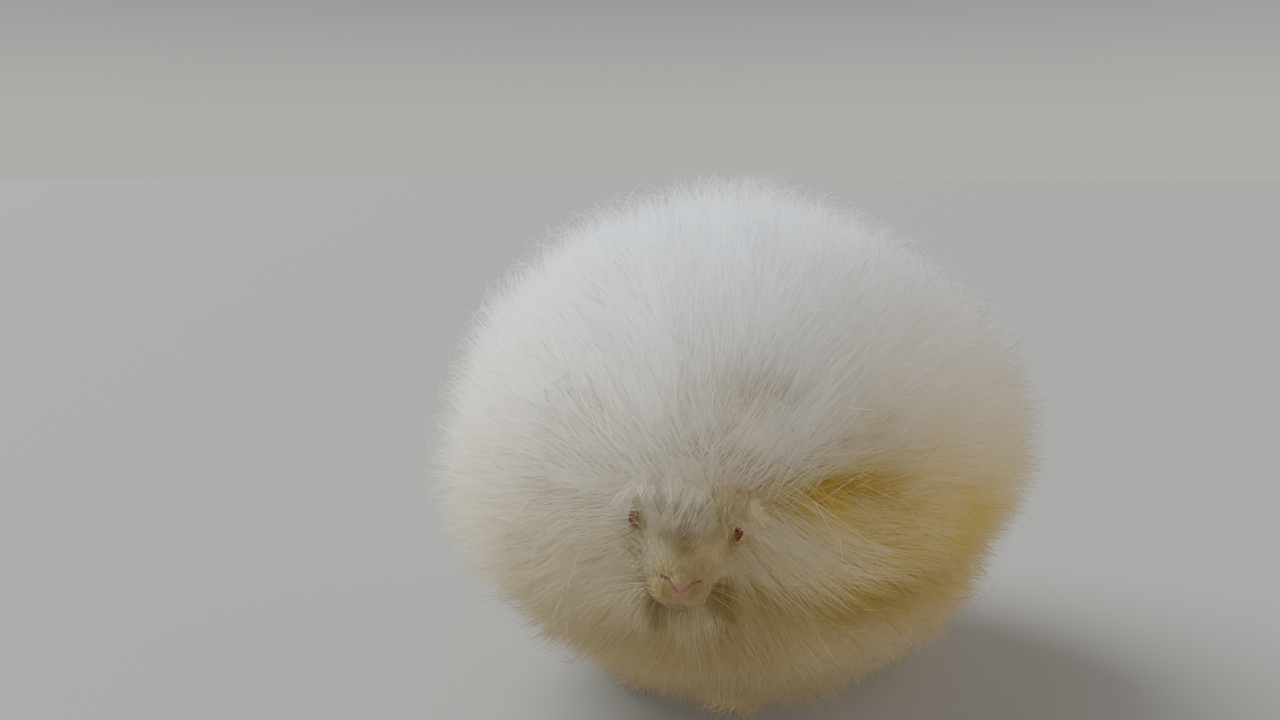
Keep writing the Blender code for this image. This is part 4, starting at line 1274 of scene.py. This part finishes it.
cheekWool = {
    "count": 7000, "shares": (0.04, 0.74), "turns": (-160, 200),  # along the head, and in degrees round it
    "shortest": 0.010, "longer": 0.040, "uneven": 0.012, "beard": 1.25, "back": (0.30, 0.80),
    "swirl": 0.22, "stray": 0.10, "hang": 0.20, "bend": 0.45, "gather": (420, 0.4),
    "width": 0.0009, "under": 0.0015, "facing": 1.0, "soften": 0.7, "shape": threeRings, "finish": woolFinish,
}


def makeCheekWool():
    rng = np.random.default_rng(seed + 3)
    swirl = waveField(rng, 0.030)
    share, turn, roots, outward = rootsOnHead(rng, cheekWool)
    near = np.clip((cheekWool["shares"][1] - share) / 0.50, 0, 1)
    length = cheekWool["shortest"] + cheekWool["longer"] * near ** 0.8
    length += cheekWool["uneven"] * rng.uniform(-1, 1, len(share)) * near
    length *= np.where(np.sin(turn) < 0, cheekWool["beard"], 1.0 - 0.35 * np.clip(np.sin(turn), 0, 1))
    back = ahead * np.where(share > 0.55, cheekWool["back"][1], cheekWool["back"][0])[:, None]
    stray = rng.normal(size=roots.shape) * cheekWool["stray"]
    aim = unit(outward - back + swirl(roots) * cheekWool["swirl"] + stray)
    tips = roots + aim * length[:, None]
    tips[:, 2] -= length * cheekWool["hang"]
    tips = openTo(tips)
    bends = roots + outward * (length * cheekWool["bend"])[:, None]
    keep = keepOffEyes(roots, tips, 0.0015) & clearOfEyes(roots, tips, rng)
    tips = gathered(rng, tips, *cheekWool["gather"])
    growOnHead(rng, "cheekWool", cheekWool, (roots, bends, tips), share, turn, outward, keep)


bangs = {
    "count": 2300, "shares": (0.06, 0.50), "turns": (38, 142), "reach": (0.028, 0.058), "furthest": 0.083,
    "height": 0.029, "uneven": 0.010, "arch": 0.021, "gather": (90, 0.5),
    "width": 0.0008, "under": 0.0015, "facing": 0.5, "soften": 0.65, "shape": fourRings, "finish": woolFinish,
}


def makeBangs():
    # the forelock: wool of the crown that falls forward between the ears and over the brow
    rng = np.random.default_rng(seed + 4)
    count = bangs["count"]
    share, turn, roots, outward = rootsOnHead(rng, bangs)
    sideways = np.cos(turn)
    reach = rng.uniform(*bangs["reach"], count)
    along, across, up = inHead(roots).T
    tips = headPoint(np.stack((
        np.minimum(along + reach * (1 - 0.25 * np.abs(sideways)), bangs["furthest"]),
        across * 1.25 + sideways * 0.016 + rng.normal(size=count) * 0.003,
        bangs["height"] + bangs["uneven"] * rng.uniform(-1, 1.2, count) + (0.055 - along) * 0.12), 1))
    bends = headPoint(np.stack((along + reach * 0.45, across * 1.15 + sideways * 0.006,
                                up + bangs["arch"] + 0.006 * rng.uniform(-1, 1, count)), 1))
    tips = gathered(rng, tips, *bangs["gather"])
    keep = keepOffEyes(roots, tips, -0.001) & clearOfEyes(bends, tips, rng)
    growOnHead(rng, "forelock", bangs, (roots, bends, tips), share, turn, outward, keep)


curls = {"locks": 54, "each": 40, "spread": 0.0034, "width": 0.0008}


def makeCurls():
    # curled locks of the forelock, that hang over the brow and between the eyes
    rng = np.random.default_rng(seed + 9)
    locks, each = curls["locks"], curls["each"]
    across = np.linspace(-1, 1, locks) + rng.uniform(-0.05, 0.05, locks)
    rng.shuffle(across)
    begin = np.stack((rng.uniform(0.030, 0.052, locks), across * 0.026, 0.034 - 0.006 * across ** 2), 1)
    layer = rng.uniform(0, 1, locks)  # the lower locks lie under the upper ones
    over = np.stack((0.066 + 0.018 * layer, across * 0.032 + rng.uniform(-0.008, 0.008, locks),
                     0.040 + 0.024 * layer), 1)
    final = np.stack((0.084 + 0.010 * layer, across * 0.027 + rng.uniform(-0.014, 0.014, locks),
                      0.0175 + 0.016 * layer + 0.004 * np.abs(across)), 1)
    strands = []
    for points, wide in ((begin, 0.9), (over, 1.0), (final, 0.75)):
        loose = rng.normal(size=(locks, each, 3)) * curls["spread"] * wide
        strands.append(headPoint((points[:, None, :] + loose).reshape(-1, 3)))
    roots, bends, tips = strands
    keep = keepOffEyes(bends, tips, 0.0) & clearOfEyes(bends, tips, rng)
    roots, bends, tips = roots[keep], bends[keep], tips[keep]
    growTufts(rng, "forelockCurls", "face_fur", woolFinish, (roots, bends, tips),
              unevenWidths(rng, curls["width"], len(roots)), headChartOf(inHead(roots)),
              unit(tips - coatCentre), 0.55, ((0.0, 0.8), (0.3, 1.0), (0.6, 0.9), (0.85, 0.6)))


hanging = {  # the wool of throat and chin: where it grows, how long and which way
    "bib": {
        "draw": 5, "count": 2200, "shares": (0.10, 0.80), "turns": (-150, -30),
        "length": 0.022, "longer": 0.030, "uneven": (0.7, 1.2), "aim": (1.0, 0.18, -0.55),
        "bend": (0.35, 0.5), "gather": (110, 0.45), "width": 0.0010, "under": 0.0015,
        "facing": 1.0, "soften": 0.65, "shape": threeRings, "finish": woolFinish,
    },
    "chinWool": {
        "draw": 10, "count": 900, "shares": (0.62, 0.86), "turns": (-155, -25),
        "length": 0.010, "longer": 0.0, "uneven": (1.0, 1.9), "aim": (0.8, 0.30, -0.7), "bend": (0.4, 0.45),
        "gather": None, "width": 0.0007, "under": 0.0012, "facing": 1.0, "soften": 0.6,
        "shape": twoRings, "finish": faceFinish,
    },
}


def makeHangingWool(name):
    wool = hanging[name]
    rng = np.random.default_rng(seed + wool["draw"])
    share, turn, roots, outward = rootsOnHead(rng, wool)
    length = wool["length"] + wool["longer"] * np.clip((wool["shares"][1] - share) / 0.5, 0, 1)
    length = length * rng.uniform(*wool["uneven"], len(share))
    out, forward, down = wool["aim"]
    aim = unit(outward * out + ahead * forward + np.array((0, 0, down)) + rng.normal(size=roots.shape) * 0.14)
    tips = roots + aim * length[:, None]
    forward, share0 = wool["bend"]
    bends = roots + unit(outward + ahead * forward) * (length * share0)[:, None]
    if wool["gather"]:
        tips = gathered(rng, tips, *wool["gather"])
    growOnHead(rng, name, wool, (roots, bends, tips), share, turn, outward)


velvet = {
    "count": 9200, "shortest": 0.0032, "longer": 0.0095, "uneven": (0.7, 1.25), "width": 0.00048,
    "start": 0.030, "end": 0.112, "aside": 0.052,  # the part of the head that it covers
    # tint: creamier than other tufts, up to three times; partly painted shade that keeps the muzzle dark
    "fromLines": 0.0011, "fromEyes": 0.0021, "tint": 3,
}


def makeVelvet():
    # short fur of the muzzle and face, lying back from the nose
    rng = np.random.default_rng(seed + 6)
    points, normals = readPoints(skin.data)
    local, half = inHead(points), halfFace(points)
    face = (local[:, 0] > velvet["start"]) & (local[:, 0] < velvet["end"])
    face &= offAxis(local) < velvet["aside"]
    face &= np.linalg.norm((half - skinSizes["noseTip"]) / skinSizes["noseSize"], axis=1) > 0.9
    for key in faceLines:
        face &= besideLine(half, key) > velvet["fromLines"]
    for side in (1, -1):
        face &= np.linalg.norm(points - eyeAt(side)[0], axis=1) > eye["radius"] + velvet["fromEyes"]
    chosen = rng.choice(np.flatnonzero(face), velvet["count"])
    roots, outward, place = points[chosen], normals[chosen], local[chosen]
    roots = roots + rng.normal(size=roots.shape) * 0.0004
    back = np.clip((0.106 - place[:, 0]) / 0.060, 0, 1)
    length = (velvet["shortest"] + velvet["longer"] * back) * rng.uniform(*velvet["uneven"], len(roots))
    flow = outward * (0.50 + 0.30 * back)[:, None] - ahead
    tips = roots + unit(flow + rng.normal(size=roots.shape) * 0.10) * length[:, None]
    bends = roots + unit(outward * 0.7 - ahead * 0.3) * (length * 0.35)[:, None]
    widths = unevenWidths(rng, velvet["width"], len(roots), 0.7, 1.4)
    growTufts(rng, "faceVelvet", "face_fur", faceFinish, (roots - outward * 0.0003, bends, tips), widths,
              headChartOf(place), outward, 0.5, tint=rng.uniform(0, velvet["tint"], len(roots)))


whiskers = {"count": 14, "length": (0.030, 0.052), "width": 0.00024, "hang": 0.16}


def makeWhiskers():
    rng = np.random.default_rng(seed + 7)
    count = whiskers["count"]
    side = np.where(np.arange(count) % 2 == 0, 1.0, -1.0)
    row = rng.uniform(-1, 1, count)
    place = np.stack((0.094 + 0.004 * rng.uniform(-1, 1, count), side * 0.0158, -0.004 + 0.0045 * row), 1)
    roots = headPoint(place)
    aim = unit(headVector(np.stack((0.25 + 0.25 * rng.uniform(-1, 1, count), side, 0.22 * row - 0.10), 1)))
    length = rng.uniform(*whiskers["length"], count)
    tips = roots + aim * length[:, None]
    tips[:, 2] -= length * whiskers["hang"]
    bends = roots + aim * (length * 0.55)[:, None]
    growTufts(rng, "whiskers", "face_fur", faceFinish, (roots - aim * 0.002, bends, tips),
              np.full(count, whiskers["width"]), headChartOf(place),
              shape=((0.0, 1.0), (0.25, 0.9), (0.5, 0.8), (0.75, 0.55)))


makeCheekWool()
makeBangs()
makeCurls()
makeHangingWool("bib")
makeHangingWool("chinWool")
makeVelvet()
makeWhiskers()
print("face wool made")


# Ear wool: long furnishings from the rims and tips, shorter on the back and sparse in the cup

earWool = {
    "rim": 1200, "back": 700, "inside": 1200, "width": 0.00055, "gather": (260, 0.4, 0.3), "soften": 0.75,
    # at the ear's root, and how much more at its tip
    "rimLength": (0.022, 0.048), "backLength": (0.016, 0.018), "insideLength": (0.020, 0.022),
    "leftTop": 0.99, "rightTop": 0.94,  # how near to the coat's tips it comes; the right ear lies deeper
}


def makeEarWool(name, side, top):
    rng = np.random.default_rng(seed + 8 + side)
    length, hollow, wide = earFrame(side)
    thick = ear["thickness"] / 2
    rows = []

    def longer(key, least, most):
        start, more = earWool[key]
        return (start + more * share) * rng.uniform(least, most, len(share))

    def stray(amount):
        return rng.normal(size=start.shape) * amount

    def addRows(bend, tips):
        rows.append((start, start + bend, tips, earChart(share, edge, side)))

    count = earWool["rim"]
    share = rng.beta(2.2, 1.0, count)
    edge = np.where(rng.uniform(size=count) < 0.5, 1.0, -1.0) * rng.uniform(0.80, 1.0, count)
    start, _ = earSurface(side, share, edge)
    long = longer("rimLength", 0.65, 1.15)
    aim = length * (0.55 + 0.6 * share)[:, None] + wide * (edge * (1.1 - 0.7 * share))[:, None]
    aim = unit(aim + hollow * 0.22 + stray(0.15))
    tips = start + aim * long[:, None]
    tips[:, 2] -= long * 0.22
    addRows(aim * (long * 0.5)[:, None], tips)

    count = earWool["back"]
    share, edge = rng.uniform(0.10, 0.97, count), rng.uniform(-1, 1, count)
    start, normal = earSurface(side, share, edge, -thick)
    long = longer("backLength", 0.7, 1.2)
    aim = unit(length * 0.75 - normal * 0.5 + stray(0.12))
    addRows(-normal * (long * 0.45)[:, None], start + aim * long[:, None])

    count = earWool["inside"]
    share = rng.uniform(0.12, 0.95, count)
    edge = np.sign(rng.uniform(-1, 1, count)) * rng.beta(2.0, 1.2, count)
    start, normal = earSurface(side, share, edge, thick)
    long = longer("insideLength", 0.7, 1.2)
    aim = unit(length * 0.6 + normal * 0.75 + stray(0.18))
    ends = unit(start + aim * long[:, None] - coatCentre)
    addRows(normal * (long * 0.4)[:, None], outTo(ends, coatReach(ends) * rng.uniform(0.90, 1.0, count)))

    roots, bends, tips, chart = (np.concatenate(columns) for columns in zip(*rows))
    tipTop, bendTop = rng.uniform(top - 0.10, top, len(tips)), np.full(len(tips), top - 0.07)
    for points, most in ((tips, tipTop), (bends, bendTop)):
        away = points - coatCentre
        points[:] = outTo(away, np.minimum(1, coatReach(unit(away)) * most / np.linalg.norm(away, axis=1)))
    tips = gathered(rng, tips, *earWool["gather"])
    growTufts(rng, name, "ear_fur", woolFinish, (roots, bends, tips),
              unevenWidths(rng, earWool["width"], len(roots)), chart, unit(tips - coatCentre),
              earWool["soften"], ((0.0, 0.8), (0.3, 1.0), (0.65, 0.75)))


makeEarWool("earWoolLeft", 1, earWool["leftTop"])
makeEarWool("earWoolRight", -1, earWool["rightTop"])
print("ear wool made")


# Paw fur: short and dense, lying forward over the toes

pawFur = {"count": 6500, "length": (0.009, 0.018), "width": 0.00055, "heights": (0.0015, 0.034)}


def makePawFur():
    rng = np.random.default_rng(seed + 20)
    points, normals = readPoints(skin.data)
    low, high = pawFur["heights"]
    onFoot = (points[:, 2] < high) & (points[:, 2] > low) & (normals[:, 2] > -0.35)
    chosen = rng.choice(np.flatnonzero(onFoot), pawFur["count"])
    roots, outward = points[chosen], normals[chosen]
    length = rng.uniform(*pawFur["length"], len(roots))
    rear = np.clip(outward[:, 1], 0, 1)[:, None]
    forward = np.array((0, -1.0, -0.25)) * (1 - rear) + np.array((0, 0.2, -0.6)) * rear
    tips = roots + unit(forward + outward * 0.75 + rng.normal(size=roots.shape) * 0.16) * length[:, None]
    tips[:, 2] = np.maximum(tips[:, 2], 0.0008)
    bends = roots + outward * (length * 0.4)[:, None]
    growTufts(rng, "pawFur", "paw_fur", faceFinish, (roots - outward * 0.0004, bends, tips),
              unevenWidths(rng, pawFur["width"], len(roots), 0.7, 1.3),
              onChart("feet", roots[:, 0], roots[:, 1]), outward, 0.5)


makePawFur()


# Hem: wool of the belly and flanks that hangs to the floor round the feet

hem = {
    "count": 4600, "centre": (-0.012, 0.032), "radii": (0.119, 0.126), "width": 0.00065,
    "rootRing": 1.24, "tipRing": (0.72, 1.05),  # how wide the rings of roots and tips are
    "rootHeight": (0.026, 0.075), "tipHeight": (0.001, 0.013), "sway": 0.006, "belly": 0.014,
    "gather": (260, 0.45, 0.3),
}


def makeHem():
    rng = np.random.default_rng(seed + 22)
    count = hem["count"]
    turn = rng.uniform(0, math.tau, count)
    ring = np.stack((np.cos(turn), np.sin(turn)), 1) * hem["radii"]
    high = np.column_stack((ring * hem["rootRing"] + hem["centre"], rng.uniform(*hem["rootHeight"], count)))
    starts = unit(high - coatCentre)
    roots = outTo(starts, underReach(starts) * 0.95)
    sway = rng.normal(size=(count, 2)) * hem["sway"]
    least, more = hem["tipHeight"]
    tips = np.column_stack((ring * rng.uniform(*hem["tipRing"], count)[:, None] + hem["centre"] + sway,
                            least + more * rng.beta(1.1, 2.6, count)))
    bends = (roots + tips) / 2 + unit(np.column_stack((ring, np.zeros(count)))) * hem["belly"]
    tips = gathered(rng, tips, *hem["gather"])
    growTufts(rng, "hemWool", "wool", woolFinish, (roots, bends, tips),
              unevenWidths(rng, hem["width"], count, 0.6, 1.4), ballChart(starts),
              unit(bends - coatCentre), 0.85)


makeHem()


# Wisps: single fine hairs that stray past the outline, most at the crown of the ball and on its right side

wisps = {
    "count": 3200, "width": 0.00026, "lowest": -0.55, "fromFace": 0.050, "bow": 0.05,
    "reach": (0.90, 1.02, 1.03), "longer": 0.052, "longest": 1.088,  # of root, bend and tip, as shares
    "plumes": (  # where more of them stand: direction from the coat's centre, spread, how much longer, number
        ((-0.09, 0.13, 0.987), 0.10, 0.030, 260), ((-0.634, -0.541, -0.543), 0.10, 0.030, 200),
        ((-0.80, -0.30, 0.10), 0.25, 0.004, 160),
    ),
}


def makeWisps():
    rng = np.random.default_rng(seed + 21)
    aims = unit(rng.normal(size=(wisps["count"] * 2, 3)))
    chance = 0.35 + 0.9 * np.clip(aims[:, 2], 0, 1) + 0.4 * np.clip(-aims[:, 0], 0, 1)
    local = inHead(outTo(aims, coatReach(aims)))
    keep = ~((local[:, 0] > 0.02) & (offAxis(local) < wisps["fromFace"])) & (aims[:, 2] > wisps["lowest"])
    aims = aims[keep & (rng.uniform(0, 1.2, len(aims)) < chance)][:wisps["count"]]
    longer = np.zeros(len(aims))
    for aim, spread, more, number in wisps["plumes"]:
        aims = np.concatenate((aims, unit(np.array(aim) + rng.normal(size=(number, 3)) * spread)))
        longer = np.concatenate((longer, np.full(number, more)))
    count = len(aims)
    reach = coatReach(aims)
    bow = crossing(rng.normal(size=aims.shape), aims)
    rootReach, bendReach, tipReach = wisps["reach"]
    roots = outTo(unit(aims - bow * wisps["bow"]), reach * rootReach)
    far = np.minimum(tipReach + longer + wisps["longer"] * rng.beta(1.2, 3.0, count), wisps["longest"])
    tips = outTo(unit(aims + bow * wisps["bow"]), reach * far)
    tips[:, 2] = np.maximum(tips[:, 2], 0.004)
    bends = outTo(unit(aims - bow * 0.06), reach * bendReach)
    growTufts(rng, "wisps", "wool", woolFinish, (roots, bends, tips),
              unevenWidths(rng, wisps["width"], count, 0.7, 1.4), ballChart(aims), aims, 0.5,
              ((0.0, 1.0), (0.4, 0.9), (0.75, 0.6)))


makeWisps()
print("paw fur and wisps made")


# Floor, lights and camera

studio = {
    "floor": (0.335, 0.322, 0.298, 1), "floorHalf": 60, "floorHeight": -0.0002, "worldStrength": 1.0,
    "horizon": (0.575, 0.552, 0.510, 1), "zenith": (0.200, 0.215, 0.245, 1), "belt": (0.02, 0.24),
    "lights": (  # where each soft sun stands, spread in degrees, strength, colour, whether it casts shadows
        ("skyLight", (-0.62, -0.06, 0.78), 50, 3.9, (0.93, 0.97, 1.0), True),
        ("softFill", (-0.52, -0.10, 0.95), 60, 1.35, (0.88, 0.94, 1.0), False),
        ("warmRim", (0.66, 0.46, 0.60), 60, 0.8, (1.0, 0.86, 0.66), False),
        ("warmBounce", (0.55, -0.70, -0.30), 60, 0.12, (1.0, 0.80, 0.50), False),
    ),
    "camera": (0.4111, -0.7389, 0.3712), "look": (-0.5582, 0.8131, -0.1607), "lens": 32.34, "sensor": 36,
}


def makeFloor():
    half = studio["floorHalf"]
    corners = [(x * half, y * half, studio["floorHeight"]) for x, y in ((-1, -1), (1, -1), (1, 1), (-1, 1))]
    floor = formObject("floor", corners, [(0, 1, 2, 3)])
    finish, _, _ = newMaterial("floorFinish", **{"Roughness": 0.9, "Base Color": studio["floor"]})
    floor.data.materials.append(finish)


def aimAt(obj, target):
    behind = unit(np.array(obj.location) - target)
    side = unit(np.cross((0, 0, 1), behind))
    matrix = np.eye(4)
    matrix[:3] = np.column_stack((side, np.cross(behind, side), behind, obj.location))
    obj.matrix_world = Matrix(matrix.tolist())


def makeWorld():
    world = bpy.data.worlds.new("studioWorld")
    bpy.context.scene.world = world
    world.use_nodes = True
    tree = world.node_tree
    apart = tree.nodes.new("ShaderNodeSeparateXYZ")
    feed(tree, apart.inputs[0], tree.nodes.new("ShaderNodeTexCoord").outputs["Generated"])
    climb = addRange(tree, apart.outputs["Z"], *studio["belt"], smooth=True)
    background = tree.nodes["Background"].inputs
    feed(tree, background["Color"], addMix(tree, climb, studio["horizon"], studio["zenith"]))
    feed(tree, background["Strength"], studio["worldStrength"])


def makeLights():
    for name, place, spread, power, colour, shadows in studio["lights"]:
        light = bpy.data.lights.new(name, "SUN")
        light.angle = math.radians(spread)
        light.energy = power
        light.color = colour
        light.use_shadow = shadows
        lamp = addObject(name, light)
        lamp.location = place
        aimAt(lamp, coatCentre)


def makeCamera():
    data = bpy.data.cameras.new("camera")
    data.sensor_width = studio["sensor"]
    data.lens = studio["lens"]
    camera = addObject("camera", data)
    camera.location = studio["camera"]
    aimAt(camera, np.array(studio["camera"]) + studio["look"])
    bpy.context.scene.camera = camera


makeFloor()
makeWorld()
makeLights()
makeCamera()

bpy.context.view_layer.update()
total = 0
for item in bpy.context.scene.objects:
    if item.type == "MESH" and item.name not in frame["nodes"]:
        count = sum(len(face.vertices) - 2 for face in item.data.polygons)
        total += count
        print(item.name, "triangles", count)
print("all triangles", total)
